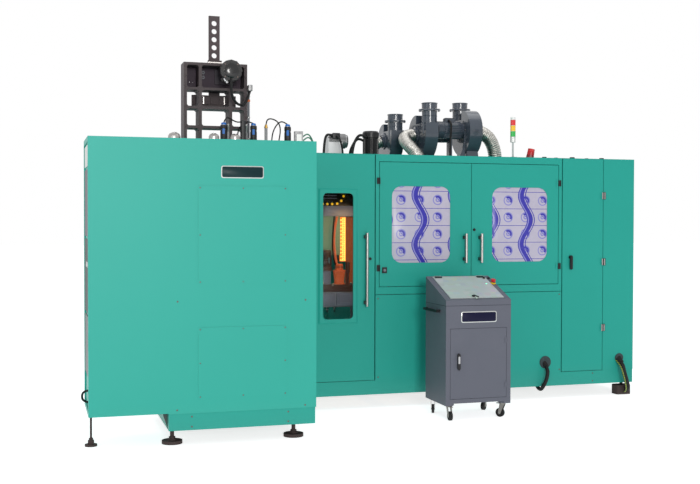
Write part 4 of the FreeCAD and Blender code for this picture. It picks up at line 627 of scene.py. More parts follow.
# tapered reliefs where the leads leave their holes, and the rings that line the holes
reliefs = {"console": {"at": (4.086, 1.1, 0.32), "way": (0.03, -0.88, -0.47), "radius": 0.017,
                       "long": 0.05, "ring": 0.0445},
           "supply": {"at": (4.85, 1.1, 0.334), "way": (0.04, -0.88, -0.47), "radius": 0.022,
                      "long": 0.055, "ring": 0.03}}
for name, facts in reliefs.items():
    piece = Piece(f"{name}LeadRelief", slot="black_sheath")
    share = np.linspace(0, 1, 13)
    waist = facts["radius"] * (1.42 - 0.36 * share) + 0.0016 * np.cos(share * 12 * np.pi)
    piece.turned(np.column_stack([waist, share * facts["long"]]), facts["at"], facts["way"],
                 blackRubber, 24)
    x, _, z = facts["at"]
    ring = facts["ring"]
    piece.turned([(ring + 0.012, 0), (ring + 0.012, 0.003), (ring + 0.006, 0.008),
                  (ring - 0.012, 0.009), (ring - 0.02, 0.004)],
                 (x + 0.006, bodyFront - 0.0002, z + 0.012), front, grommetGrey, 36)
    piece.made()
print("leads made")

# ducts of crinkled foil from the fans to the roof
ducts = {
    "left": {"radius": 0.063, "ribs": 15, "route": (
        (2.944, 2.4, 2.407), (2.8746, 2.3881, 2.3636), (2.8355, 2.3805, 2.2811),
        (2.8312, 2.3783, roof))},
    "middle": {"radius": 0.063, "ribs": 26, "route": (
        (3.174, 2.1, 2.449), (3.0756, 2.0378, 2.4179), (3.0575, 1.9498, 2.3609),
        (3.1015, 1.8488, 2.2677), (3.1403, 1.8022, roof))},
    "right": {"radius": 0.068, "ribs": 21, "route": (
        (3.777, 1.93, 2.49), (3.888, 1.93, 2.436), (3.957, 1.93, 2.316),
        (3.975, 1.93, roof))}}
# clamp bands: heights and the lug's place as shares of a duct's radius, the width in metres
band = {"low": 0.9, "top": 0.985, "lug": 0.93, "wide": 0.014}


def crinkled(name, route, radius, ribs):
    # ring of radius low + depth * crest(along), crumpled by sums of sines of turn and length
    # and drawn in under the clamps at both ends
    line = smoothLine(route, ribs * 10)
    side, up = crossFrames(line)
    along = np.linspace(0, ribs, len(line))[:, None]
    turn = fullTurn(56)[None]
    crest = np.abs(np.cos(np.pi * (along + 0.12 * np.sin(2 * turn + along))))
    crumple = sum(np.sin(k * turn + f * along + p) * a for k, f, p, a in
                  ((3, 2.1, 0.4, 0.010), (5, -3.3, 1.7, 0.009), (9, 5.2, 2.9, 0.007),
                   (14, -7.9, 0.8, 0.005)))
    ends = np.clip(np.minimum(along, ribs - along) / 0.8, 0, 1)
    ring = radius * (0.9 + ends * (0.085 * crest ** 0.7 - 0.008 + crumple * (1.2 - crest)))
    rows = line[:, None] + ring[..., None] * (np.cos(turn)[..., None] * side[:, None]
                                              + np.sin(turn)[..., None] * up[:, None])
    piece = Piece(name + "FoilDuct", slot="foil_duct").grid(rows, ductFoil)
    # a flat band with its screw housing round each end
    for i, j in ((4, 12), (len(line) - 5, len(line) - 13)):
        axis = unit(line[j] - line[i])
        low, top = radius * band["low"], radius * band["top"]
        piece.turned([(low, 0), (top, 0.001), (top, 0.013), (low, band["wide"])], line[i],
                     axis, clampSteel, 48)
        beside = np.cross(axis, (0.3, 1, 0.2))
        lug = line[i] + axis * 0.007 + unit(beside) * radius * band["lug"]
        piece.turned([(0.006, -0.014), (0.006, 0.014)], lug, beside, clampSteel, 6)
    piece.made(angle=80, replaces=(f"blower_duct_{name}",))


for name, facts in ducts.items():
    crinkled(name, **facts)
print("ducts made")

# screws, plain plates, locks and a knob plate
capScrew = [(0.0062, 0), (0.0062, 0.0012), (0.0048, 0.0027), (0.0022, 0.0031),
            (0.0018, 0.0018)]


def screws(name, places, scale=1.0, material=screwHead):
    # one piece of cap screws that face the front
    piece = Piece(name)
    for place in places:
        piece.turned([(r * scale, h * scale) for r, h in capScrew], place, front, material, 12)
    piece.made()


access = {"left": 0.765, "right": 1.417, "front": -0.003, "inset": 0.014}


def ringOfEight(foot, top):
    # corners and middles of the sides of an access panel, all drawn in by the inset
    x0, x1, inset = access["left"], access["right"], access["inset"]
    x = np.array([x0 + inset, (x0 + x1) / 2, x1 - inset])
    z = np.array([foot + inset, (foot + top) / 2, top - inset])
    places = [(a, access["front"], b) for a in x for b in z]
    return places[:4] + places[5:]


screws("cabinetScrews",
       [(0.618, 0, 1.037), (1.557, 0, 1.032), (0.614, 0, 0.262), (1.555, 0, 0.254)]
       + [(x, 0.006, z) for x in (0.72, 1.428) for z in (0.21, 0.138)])
screws("accessScrews", ringOfEight(1.16, 1.863) + ringOfEight(0.335, 0.847), scale=0.8)
screws("coverScrews",
       [(2.487, bodyFront, 0.942), (2.489, bodyFront, 0.262), (4.231, bodyFront, 0.949),
        (4.235, bodyFront, 0.262), (4.582, 1.1, 0.212), (4.582, 1.1, 0.141)])

plate = {"rim": 0.007, "corner": 0.016}


def blankPlate(name, low, high, deep, ground):
    # a silver sheet 2 mm thick, with a darker ground inside its rim
    piece = Piece(name)
    middle = ((low[0] + high[0]) / 2, deep, (low[1] + high[1]) / 2)
    half = np.subtract(high, low) / 2
    piece.carried(roundedOutline(*half, plate["corner"]),
                  [(0, 0), (0.0012, 0), (0.002, 0.0008)], middle, frontAxes, silverEdge)
    piece.carried(roundedOutline(*(half - plate["rim"]), plate["corner"] - plate["rim"] / 2),
                  [(0.001, 0), (0.0024, 0), (0.0028, 0.0006)], middle, frontAxes, ground)
    piece.made(angle=50)


blankPlate("cabinetBadge", (0.93, 1.92), (1.243, 2.01), -0.0001, darkGreen)
blankPlate("consoleBadge", (2.943, 0.792), (3.256, 0.882), 0.3399, navyBlue)

lockBarrel = [(0.0125, 0), (0.0125, 0.007), (0.0105, 0.0105), (0.004, 0.0105), (0.003, 0.008)]
for name, body, place in (("narrowDoorLock", "narrow_door_leaf", (2.415, bodyFront, 1.288)),
                          ("ovenDoorLock", "right_door_leaf", (3.385, bodyFront, 1.538))):
    Piece(name, body).turned(lockBarrel, place, front, blackEnamel).made()

# knob plate on the left oven door, under its window
piece = Piece("doorKnobPlate", "left_door_leaf")
piece.block((2.521, 1.083, 1.162), (2.566, 1.0939, 1.214), blackPlastic, 0.004, axis=1)
piece.turned([(0.012, 0), (0.012, 0.004), (0.009, 0.006), (0.004, 0.006)],
             (2.5435, 1.0832, 1.188), front, greySteel, 20)
piece.made()
print("small fittings made")


# printed film over the two oven windows: ribbons, level bars and rings of its own; the shares
# are a middle and a reach, of the ribbon's pitch or of a cell's height, and the rings' are radii
film = {"pitch": 0.34, "high": 0.30, "waves": 14.5, "sway": 0.045, "ink": (62, 58, 166),
        "paleInk": (140, 138, 200), "ribbon": (0.5, 0.088), "stripe": (0.455, 0.016),
        "edging": (0.63, 0.014), "bar": (0.5, 0.016), "disc": 0.044, "rim": (0.041, 0.005),
        "dot": (0.014, 0.006)}


def filmFinish():
    # ribbons by the fraction of (x + sway * sin(waves * z)) / pitch; bars and rings in cells of
    # half the pitch by half of high, by height and by the distance from the cells' middles
    material = finish("printedFilm", (194, 188, 204), (182, 177, 196), rough=0.2, spread=0.14,
                      cloud=4, grain=14, relief=0.3, sheen=0.3)
    tree = material.node_tree
    _, (x, _, z) = objectPlace(tree)
    cellWide, cellHigh = film["pitch"] / 2, film["high"] / 2

    def near(value, middle, reach):
        return calc(tree, "LESS_THAN",
                    calc(tree, "ABSOLUTE", calc(tree, "SUBTRACT", value, middle)), reach)

    def turns(value, pitch, shift):
        return calc(tree, "FRACT", calc(tree, "MULTIPLY_ADD", value, 1 / pitch, shift))

    def fromMiddle(value, pitch, shift):
        return calc(tree, "MULTIPLY",
                    calc(tree, "SUBTRACT", turns(value, pitch, shift), 0.5), pitch)

    wave = calc(tree, "MULTIPLY",
                calc(tree, "SINE", calc(tree, "MULTIPLY", z, film["waves"])), film["sway"])
    ribbon = turns(calc(tree, "ADD", x, wave), film["pitch"], 0.42)
    dx, dz = fromMiddle(x, cellWide, 0.34), fromMiddle(z, cellHigh, 0.5)
    far = calc(tree, "SQRT", calc(tree, "ADD", calc(tree, "MULTIPLY", dx, dx),
                                  calc(tree, "MULTIPLY", dz, dz)))
    half = calc(tree, "MULTIPLY", calc(tree, "LESS_THAN", far, film["disc"]),
                calc(tree, "GREATER_THAN", calc(tree, "ADD", dx, dz), 0.004))
    for mask, tint in ((near(turns(z, cellHigh, 0.0), *film["bar"]), "ink"), (half, "ink"),
                       (near(far, *film["rim"]), "paleInk"),
                       (near(far, *film["dot"]), "paleInk"),
                       (near(ribbon, *film["edging"]), "ink"),
                       (near(ribbon, *film["ribbon"]), "ink"),
                       (near(ribbon, *film["stripe"]), "paleInk")):
        recolour(material, mask, linear(film[tint]))
    return material


printedFilm = filmFinish()
windows = {"left": {"low": (2.612, 1.25), "high": (3.1555, 1.917)},
           "right": {"low": (3.5595, 1.25), "high": (4.103, 1.917)}}
for side, facts in windows.items():
    low, high = np.array(facts["low"]) + 0.0008, np.array(facts["high"]) - 0.0008
    middle, half = (low + high) / 2, (high - low) / 2
    piece = Piece(f"{side}WindowFilm", f"{side}_door_leaf", slot="film_pane")
    piece.carried(roundedOutline(*half, 0.0892, 14), [(0, 0), (0.0012, 0), (0.0016, 0.0005)],
                  (middle[0], 1.0978, middle[1]), frontAxes, printedFilm)
    piece.made(angle=40)
print("window films made")

# what shows through the narrow window: post, lit buttons, motor, head, lamps and trays; the glow
# of the parts that are no lamps or buttons is painted lamp light
oven = {"left": 2.0, "foot": 0.97, "stand": 1.036, "motor": (2.178, 1.70), "head": (2.315, 1.70),
        "lampFront": 1.7902}
piece = Piece("ovenInside", slot="dark_frame")
piece.block((oven["left"], 1.66, oven["foot"]), (2.04, 1.72, 1.86), frameEnamel)
piece.block((oven["left"], 1.72, 1.3), (2.33, 1.73, 1.66), paintedGlowGreen, axis=1)
piece.block((oven["left"], 1.64, 1.656), (2.47, 1.70, 1.748), paintedGlowGrey, axis=0)
piece.block((2.03, 1.63, 1.749), (2.47, 1.70, 1.87), blackEnamel, axis=0)
for x, z in ((2.136, 1.766), (2.181, 1.766), (2.226, 1.766), (2.274, 1.77), (2.312, 1.796),
             (2.334, 1.838)):
    piece.turned([(0.011, 0), (0.011, 0.006), (0.007, 0.011)], (x, 1.631, z), front,
                 buttonGlow, 16)
for z in (1.815, 1.84):
    piece.block((2.1, 1.6285, z), (2.27, 1.6305, z + 0.005), paintedGlowGrey, 0.001, axis=1)
# motor on its block with rings round it, a small bright pin and three studs; the glow of the
# block and motor is painted lamp light
piece.block((2.06, 1.645, oven["foot"]), (2.5, 1.735, oven["stand"]), paintedGlowDark, 0.006)
piece.block((2.12, 1.66, oven["stand"]), (2.225, 1.73, 1.16), paintedGlowGrey, 0.006)
piece.block((2.10, 1.655, 1.16), (2.235, 1.74, 1.2), paintedGlowDark, 0.006)
piece.turned([(0.05, 0), (0.06, 0.006), (0.06, 0.13), (0.05, 0.15)], (*oven["motor"], 1.2),
             skyward, paintedGlowDark)
for high in np.linspace(1.215, 1.315, 6):
    piece.turned([(0.0605, 0), (0.0645, 0.002), (0.0645, 0.006), (0.0605, 0.008)],
                 (*oven["motor"], high), skyward, blackEnamel)
piece.turned([(0.01, 0), (0.01, 0.03), (0.014, 0.032), (0.014, 0.05)], (2.2, 1.636, 1.23),
             skyward, chromePlate, 18)
for x, high in ((2.15, 1.05), (2.24, 1.04), (2.41, 1.05)):
    piece.turned([(0.012, 0), (0.012, 0.01), (0.006, 0.02)], (x, 1.65, high - 0.014), skyward,
                 chromePlate, 14)
piece.made()
# the head and its orange hose glow with painted light from the lamps
piece = Piece("lampLitHead")
piece.turned([(0.05, 0), (0.05, 0.012), (0.043, 0.016), (0.055, 0.112), (0.058, 0.116),
              (0.058, 0.126), (0.05, 0.13), (0.034, 0.132), (0.034, 0.18), (0.028, 0.185)],
             (*oven["head"], oven["stand"]), skyward, paintedGlowOrange)
piece.turned([(0.045, 0), (0.045, 0.006), (0.037, 0.008)], (*oven["head"], 1.19), skyward,
             paintedGlowDark)
piece.hose([(2.30, 1.72, 1.16), (2.282, 1.705, 1.28), (2.266, 1.70, 1.4), (2.27, 1.70, 1.52),
            (2.29, 1.69, 1.655)], 0.011, paintedGlowOrange)
piece.hose([(2.33, 1.72, 1.16), (2.268, 1.69, 1.24), (2.246, 1.68, 1.36), (2.25, 1.68, 1.5),
            (2.262, 1.68, 1.655)], 0.007, blackRubber)
piece.turned([(0.014, 0), (0.014, 0.1), (0.02, 0.105), (0.02, 0.2)],
             (2.395, 1.70, oven["stand"]), skyward, paintedGlowDark, 20)
piece.made()
# rows of glowing lamp ends before two glowing plates: the lamp bank's face, and a brown plate
# beside it whose glow is painted lamp light
piece = Piece("ovenLamps")
piece.block((2.346, 1.79, 1.24), (2.404, 1.7999, 1.65), lampEmber, 0.002, axis=1)
piece.block((2.404, 1.785, 0.98), (2.56, 1.7999, 1.65), paintedGlowBrown, 0.002, axis=1)
for k, high in enumerate(np.linspace(1.252, 1.638, 24)):
    for across in (2.357, 2.375, 2.393)[k % 2:]:
        piece.turned([(0.0072, 0), (0.0072, 0.004), (0.004, 0.008)],
                     (across, oven["lampFront"], high), front, lampGlow, 10)
piece.made()
# grey trays whose glow is painted light from the lamps
piece = Piece("conveyorTrays", slot="grey_steel")
for x0, x1 in ((oven["left"], 2.262), (2.272, 2.62)):
    piece.block((x0, 1.628, 0.845), (x1, 1.6399, 0.962), paintedGlowGrey, 0.004, axis=1)
    piece.block((x0 + 0.018, 1.622, 0.862), (x1 - 0.018, 1.6285, 0.945), paintedGlowGrey, 0.004,
                axis=1)
for x in (2.2, 2.27):
    piece.turned([(0.014, 0), (0.014, 0.02), (0.009, 0.024), (0.009, 0.05)],
                 (x, 1.7, 0.8301), downward, chromePlate, 20)
piece.made()
# dark strips inside the seams under the narrow and the electrical door
piece = Piece("seamStrip", slot="dark_frame")
for x0, x1 in ((1.66, 2.456), (4.262, 4.673)):
    piece.block((x0, 1.146, 0.214), (x1, 1.152, 0.25), frameEnamel, 0.001, axis=0)
piece.made()
# bright leaves on the electrical door's three hinges
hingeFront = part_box("door_hinges")[0][1] - corner[1]
piece = Piece("hingeLeaves", slot="bright_steel")
for z in (1.85, 1.24, 0.632):
    for x in (4.6665, 4.6885):
        piece.block((x - 0.005, hingeFront - 0.001, z - 0.03), (x + 0.005, 1.0939, z + 0.03),
                    brushedSteel, 0.001, axis=1)
piece.made()
print("oven inside made")

# tower: servo cap and its connector, bolts, clamp bars, and bosses in the top bays
tower = {"front": 1.25, "posts": (0.852, 1.357), "bay": 1.4138, "servo": (1.216, 2.858),
         "cap": 1.138, "capScrews": 0.074, "scallops": 12}
servoX, servoZ = tower["servo"]
piece = Piece("servoCap", slot="black_motor")
turn = fullTurn(160)
scallop = 0.0895 + 0.0028 * np.cos(tower["scallops"] * turn)
piece.carried(scallop[:, None] * circle(turn), [(0, 0.002), (0.004, 0), (0.014, 0),
                                                (0.018, 0.003)],
              (servoX, 1.156, servoZ), frontAxes, glossBlack)
piece.turned([(0.062, 0), (0.062, 0.006), (0.05, 0.012), (0.02, 0.015)],
             (servoX, tower["cap"], servoZ), front, glossBlack, 48)
for dx, dz in around(4, tower["capScrews"], 45):
    piece.turned([(0.006, 0), (0.006, 0.004), (0.0035, 0.005)],
                 (servoX + dx, tower["cap"], servoZ + dz), front, screwHead, 10)
piece.made()
piece = Piece("servoConnector")
piece.turned([(0.014, 0), (0.014, 0.02), (0.018, 0.022), (0.018, 0.04), (0.014, 0.043),
              (0.0125, 0.062)], (1.158, 1.17, 2.802), (0.5, -0.35, -0.79), chromePlate, 24)
piece.made()
screws("towerBolts", [(x, tower["front"], z) for x in tower["posts"]
                      for z in np.linspace(2.23, 2.9, 9)], scale=1.2, material=castPaint)
# bright bars down the clamps of the crosshead, each beside the middle of one of five shares
carriageLow = np.array(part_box("stretch_carriage")[0]) - corner
clampBar = {"left": 0.932, "span": 0.378, "half": 0.006, "heights": (2.606, 2.668)}
piece = Piece("clampBars", "carriage", slot="bright_steel")
for k, out in ((0, 0.012), (1, -0.014), (3, 0.014), (4, -0.012)):
    middle = clampBar["left"] + clampBar["span"] * (k + 0.5) / 5 + out
    low, high = clampBar["heights"]
    piece.block((middle - clampBar["half"], carriageLow[1] - 0.003, low),
                (middle + clampBar["half"], carriageLow[1] + 0.0002, high), brushedSteel, 0.0015)
piece.made()
# what stands in the tower's top bays, the flange at the foot of the bar, and a dark plate of
# painted shade on the back web behind the servo
piece = Piece("towerBosses", slot="tower_grey")
for high in (2.869, 2.828):
    piece.turned([(0.017, 0), (0.017, 0.006), (0.013, 0.009), (0.007, 0.009), (0.006, 0.006)],
                 (1.022, tower["bay"], high), front, greySteel, 28)
for x, z in ((0.905, 2.782), (0.935, 2.784)):
    piece.turned([(0.004, 0), (0.004, 0.004), (0.002, 0.005)], (x, tower["bay"], z), front,
                 chromePlate, 10)
piece.block((1.066, 1.424, 2.9302), (1.186, 1.4436, 2.98), castPaint, 0.003)
# dark plate behind the servo drum: painted shade on the back web
piece.block((1.12, 1.404, 2.77), (1.30, 1.4139, 2.9), castShade, 0.004)
piece.made()

# air rail: cups, caps, silencers, fittings and hoses on the cabinet's roof
air = {"middle": 1.15, "front": 1.122, "tags": 1.1195, "cups": (1.153, 1.404, 1.697),
       "silencers": (1.19, 1.343), "buttons": (1.23, 1.47, 1.73),
       "brass": ((1.511, 2.39), (1.27, 2.256), (1.56, 2.256), (1.62, 2.256)),
       "receivers": ((0.719, 0.05), (1.038, 0.042), (1.21, 0.042)), "receiverMiddle": 0.95,
       "dome": 2.2005, "port": 2.3155}
piece = Piece("airCups", slot="black_metal")
for x in air["cups"]:
    piece.turned([(0.0262, 0), (0.0285, 0.006), (0.0285, 0.09), (0.026, 0.1), (0.026, 0.108),
                  (0.0285, 0.112), (0.0285, 0.138), (0.024, 0.146)], (x, air["middle"], 2.262),
                 skyward, blackPlastic, 28)
    piece.block((x - 0.016, 1.1175, 2.33), (x + 0.004, air["front"], 2.375), capBlue, 0.001,
                axis=1)
    piece.turned([(0.021, 0), (0.021, 0.014), (0.016, 0.02), (0.006, 0.021)],
                 (x, air["middle"], 2.407), skyward, capBlue, 20)
piece.made()
piece = Piece("airFittings", slot="bright_steel")
ringed = np.column_stack([0.0125 + 0.0012 * (np.arange(26) % 2), np.linspace(0, 0.05, 26)])
for x in air["silencers"]:
    piece.turned(ringed, (x, air["middle"], 2.352), skyward, clampSteel, 20)
    piece.turned([(0.012, 0), (0.0135, 0.004), (0.0135, 0.01), (0.010, 0.014)],
                 (x, air["middle"], 2.401), skyward, clampSteel, 20)
for x, high in air["brass"]:
    piece.turned([(0.0135, 0), (0.0155, 0.001), (0.0155, 0.013), (0.011, 0.015),
                  (0.011, 0.028), (0.007, 0.03)], (x, air["middle"], high), skyward,
                 brassFitting, 6)
for x in air["buttons"]:
    piece.turned([(0.009, 0), (0.009, 0.012), (0.005, 0.015)], (x, air["front"], 2.232), front,
                 stopRed, 16)
    piece.turned([(0.012, 0), (0.012, 0.006)], (x, air["front"], 2.208), front, brassFitting, 6)
piece.block((1.768, air["tags"], 2.27), (1.812, 1.1225, 2.345), silverEdge, axis=1)
piece.block((1.297, air["tags"], 2.275), (1.335, 1.1695, 2.446), blackPlastic, 0.004)
piece.made()
# four black hoses arch over the cups, two green ones go down to the roof at the right
piece = Piece("airHoses", slot="black_sheath")
arcs = (((1.27, 2.27), (1.3, 2.4), (1.36, 2.44), (1.404, 2.425)),
        ((1.511, 2.415), (1.54, 2.47), (1.6, 2.46), (1.62, 2.28)),
        ((1.56, 2.28), (1.59, 2.39), (1.65, 2.45), (1.697, 2.425)),
        ((1.153, 2.425), (1.19, 2.47), (1.26, 2.44), (1.316, 2.44)))
bulge = (0, 0.03, 0.03, 0)
for arc in arcs:
    piece.hose([(x, air["middle"] + b, z) for (x, z), b in zip(arc, bulge)], 0.0055,
               blackRubber, 10, 30)
for y, z in ((1.135, 2.3), (1.165, 2.33)):
    piece.hose([(1.826, y, z - 0.01), (1.87, y + 0.01, z + 0.02), (1.93, y + 0.06, z - 0.02),
                (1.96, y + 0.1, z - 0.09), (1.965, y + 0.12, hoseFoot)], 0.006, hoseGreen, 10,
               36)
piece.made()
# rings round the receivers and ports on their domes
piece = Piece("receiverPorts", slot="bright_steel")
for x, r in air["receivers"]:
    piece.turned([(r + 0.0006, 0), (r + 0.004, 0.003), (r + 0.004, 0.012), (r + 0.0006, 0.015)],
                 (x, air["receiverMiddle"], air["dome"]), skyward, clampSteel, 40)
    piece.turned([(0.014, 0), (0.014, 0.004), (0.009, 0.006)],
                 (x, air["receiverMiddle"], air["port"]), skyward, chromePlate, 20)
piece.made()
print("tower and air fittings made")


# motors: fins, cowls, boxes and cables
def finned(piece, radius, depth, count, start, end, base, axes, material):
    # outline radius + depth * a squared-off cosine of the turn, carried from start to end
    turn = fullTurn(count * 8)
    ring = radius + depth * np.clip(1.6 * np.cos(count * turn) + 0.5, 0, 1)
    piece.carried(ring[:, None] * circle(turn), [(start, depth), (start + 0.004, 0),
                                                 (end - 0.004, 0), (end, depth)],
                  base, axes, material)


upright = {"at": (2.581, 1.6), "fins": 26, "cowl": 2.364, "grille": 2.4265}
piece = Piece("uprightMotorFins", slot="black_motor")
finned(piece, 0.0655, 0.0065, upright["fins"], 2.215, 2.36, (*upright["at"], 0), topAxes,
       blackEnamel)
piece.turned([(0.067, 0), (0.0745, 0.004), (0.0745, 0.05), (0.066, 0.062), (0.03, 0.0655)],
             (*upright["at"], upright["cowl"]), skyward, blackEnamel, 48)
for k in range(6):
    piece.turned([(0.058 - 0.008 * k, 0), (0.06 - 0.008 * k, 0.0012),
                  (0.058 - 0.008 * k, 0.0024)], (*upright["at"], upright["grille"]), skyward,
                 greySteel, 40)
for y, drop in ((1.545, 0.0), (1.61, 0.03)):
    piece.hose([(2.52, y, 2.37 - drop), (2.46, y - 0.01, 2.385 - drop),
                (2.41, y - 0.02, 2.33 - drop), (2.385, y - 0.03, 2.25),
                (2.375, y - 0.035, hoseFoot)], 0.012, blackRubber, 12)
piece.made()
geared = {"axis": (1.6, 2.332), "from": 2.172, "to": 2.334, "cap": 2.34}
piece = Piece("gearMotorRibs", slot="bright_steel")
steps = np.linspace(geared["from"], geared["to"], 64)
piece.turned(np.column_stack([0.0625 + 0.0045 * (np.arange(64) // 2 % 2), steps]),
             (0, *geared["axis"]), right, castAluminium, 44)
piece.turned([(0.05, 0), (0.058, 0.004), (0.058, 0.012), (0.03, 0.016)],
             (geared["cap"], *geared["axis"]), right, blackEnamel, 36)
piece.block((2.2, 1.52, 2.35), (2.27, 1.55, 2.4), blackPlastic, 0.005)
piece.hose([(2.2, 1.535, 2.375), (2.15, 1.52, 2.38), (2.12, 1.5, 2.32), (2.11, 1.49, 2.25),
            (2.105, 1.485, hoseFoot)], 0.011, blackRubber, 12)
piece.hose([(2.235, 1.52, 2.37), (2.24, 1.48, 2.36), (2.26, 1.45, 2.29),
            (2.27, 1.44, hoseFoot)], 0.009, blackRubber, 12, 36)
piece.made()

# blowers: the scroll's middle, the outlet pipe and its lip, and the motor's two ends and radius
outlet = {"bolts": 0.0905, "pipe": 0.0742, "flangeDrop": 0.078, "beadDrop": 0.05}
scroll = {"half": 0.065, "screws": 0.02}
blowers = {"left": {"fan": (3.043, 2.4, 2.407), "pipe": (3.043, 2.239), "lip": 2.658,
                    "motor": (3.108, 3.198, 0.062), "cowl": 0.02, "fins": 0},
           "middle": {"fan": (3.273, 2.1, 2.449), "pipe": (3.273, 1.908), "lip": 2.743,
                      "motor": (3.338, 3.562, 0.062), "cowl": 0.06, "fins": 30},
           "right": {"fan": (3.678, 1.93, 2.49), "pipe": (3.678, 2.122), "lip": 2.776,
                     "motor": (3.613, 3.351, 0.08), "cowl": 0.06, "fins": 30}}
for name, facts in blowers.items():
    x, y, z = facts["fan"]
    px, py = facts["pipe"]
    flange = facts["lip"] - outlet["flangeDrop"]
    piece = Piece(f"{name}BlowerTrim", slot="blower_grey")
    # flange bolts, the collar's lip and a bead under it
    for dx, dy in around(8, outlet["bolts"], 22.5):
        piece.turned([(0.009, 0), (0.009, 0.006), (0.005, 0.0075)],
                     (px + dx, py + dy, flange + 0.0158), skyward, brushedSteel, 6)
        piece.turned([(0.009, 0), (0.009, 0.006)], (px + dx, py + dy, flange + 0.0002),
                     downward, brushedSteel, 6)
    piece.turned([(outlet["pipe"], -0.012), (0.0775, -0.01), (0.0785, -0.005),
                  (0.0775, -0.0005), (outlet["pipe"], 0)], (px, py, facts["lip"]), skyward,
                 blowerEnamel, 56)
    piece.turned([(outlet["pipe"], 0), (0.0765, 0.002), (outlet["pipe"], 0.004)],
                 (px, py, flange - outlet["beadDrop"]), skyward, blowerEnamel, 56)
    # motor: fins along the barrel, rings on the cowl and a ring of screws at the fan end
    start, end, radius = facts["motor"]
    way = np.sign(end - start)
    outward = (way, 0, 0)
    long = abs(end - start)
    cowlFrom = long - facts["cowl"]
    if facts["fins"]:
        finned(piece, radius - 0.0005, 0.005, facts["fins"], 0.02, cowlFrom, (start, y, z),
               (back, skyward, outward), blowerEnamel)
    ribs = radius + 0.0008 + 0.0032 * (np.arange(22) // 2 % 2)
    piece.turned(np.column_stack([ribs, np.linspace(cowlFrom, long - 0.004, 22)]),
                 (start, y, z), outward, blowerEnamel, 48)
    piece.turned([(radius * 0.5, 0), (radius * 0.55, 0.003), (radius * 0.2, 0.005)],
                 (end, y, z), outward, greySteel, 36)
    for dy, dz in around(6, radius + scroll["screws"]):
        piece.turned([(0.006, 0), (0.006, 0.005), (0.003, 0.006)],
                     (x + way * scroll["half"], y + dy, z + dz), outward, brushedSteel, 8)
    # inlet ring where the duct leaves the scroll
    piece.turned([(0.082, 0), (0.084, 0.002), (0.084, 0.008), (0.078, 0.011)],
                 (x - way * scroll["half"], y, z), (-way, 0, 0), blowerEnamel, 48)
    piece.made(angle=30)
# terminal box of the right motor and its cable down to the roof
piece = Piece("terminalBoxCable", slot="black_sheath")
piece.block((3.438, 1.903, 2.6008), (3.526, 1.957, 2.6065), blackEnamel, 0.003)
piece.turned([(0.014, 0), (0.014, 0.008), (0.010, 0.02)], (3.47, 1.8992, 2.578), front,
             blackPlastic, 6)
piece.hose([(3.47, 1.885, 2.578), (3.468, 1.84, 2.55), (3.46, 1.82, 2.45), (3.452, 1.815, 2.33),
            (3.448, 1.812, hoseFoot)], 0.009, blackRubber, 12)
piece.made()
print("motors and blowers made")

# roof edge: foot and lens rings of the signal tower, the leaning beacon's dome, small fittings
signal = {"post": (3.858, 1.3), "rings": (2.3885, 2.4395, 2.4915, 2.5435),
          "beacon": (4.028, 1.3, roof), "lean": np.radians(12), "domeFoot": 0.034}
piece = Piece("signalTrim", slot="black_plastic")
piece.turned([(0.034, 0), (0.034, 0.006), (0.026, 0.012), (0.013, 0.016)],
             (*signal["post"], onRoof), skyward, blackPlastic, 32)
for z in signal["rings"]:
    piece.turned([(0.0243, 0), (0.0252, 0.0015), (0.0243, 0.003)],
                 (*signal["post"], z - 0.0015), skyward, silverEdge, 40)
piece.made()
leaning = np.array([np.sin(signal["lean"]), 0, np.cos(signal["lean"])])
rise = np.linspace(0, np.pi / 2, 9)
dome = np.column_stack([0.0328 * np.cos(rise * 0.93), 0.028 + 0.0308 * np.sin(rise)])
piece = Piece("beaconDome", slot="lens")
piece.turned([(0.0322, 0), (0.0328, 0.003), *dome],
             signal["beacon"] + signal["domeFoot"] * leaning, leaning, stopRed, 40)
piece.made()
piece = Piece("roofFittings", slot="black_metal")
for x, size in ((4.18, 0.018), (4.3, 0.014), (4.47, 0.02), (4.62, 0.014), (4.78, 0.018)):
    piece.block((x - size, 1.29, onRoof), (x + size, 1.32, onRoof + size * 1.2), blackEnamel,
                0.003)
piece.made()

# console: the places on its sloping top are across from its left side and up from its front
console = {"left": 2.812, "front": 0.34, "foot": 0.974, "slope": np.radians(20.88),
           "collar": (0.548, 0.321), "key": (0.548, 0.42), "hinges": (0.095, 0.477),
           "handle": (0.265, 0.056), "lever": (0.276, 0.044), "leverTurn": np.radians(38),
           "catch": (0.272, 0.055), "knob": (0.5, 0.41), "lamp": (0.478, 0.3)}


def onSlope(across, up, above):
    # the sloping top: up runs along it from its front edge and above stands square to it
    tilt = console["slope"]
    return np.array([console["left"] + across,
                     console["front"] + up * np.cos(tilt) - above * np.sin(tilt),
                     console["foot"] + up * np.sin(tilt) + above * np.cos(tilt)])


slopeUp = (0, np.cos(console["slope"]), np.sin(console["slope"]))
slopeOut = (0, -np.sin(console["slope"]), np.cos(console["slope"]))
slopeAxes = (right, slopeUp, slopeOut)
piece = Piece("deckTrim", slot="black_plastic")
piece.turned([(0.0095, -0.0035), (0.0095, 0), (0.0222, 0), (0.0235, 0.001), (0.0235, 0.009),
              (0.0222, 0.0135), (0.0095, 0.0135), (0.0095, -0.0034)],
             onSlope(*console["collar"], 0.0002), slopeOut, collarYellow, 40)
piece.turned([(0.013, 0), (0.013, 0.004), (0.010, 0.006), (0.010, 0.012), (0.006, 0.013)],
             onSlope(*console["key"], 0), slopeOut, blackPlastic, 24)
piece.made()
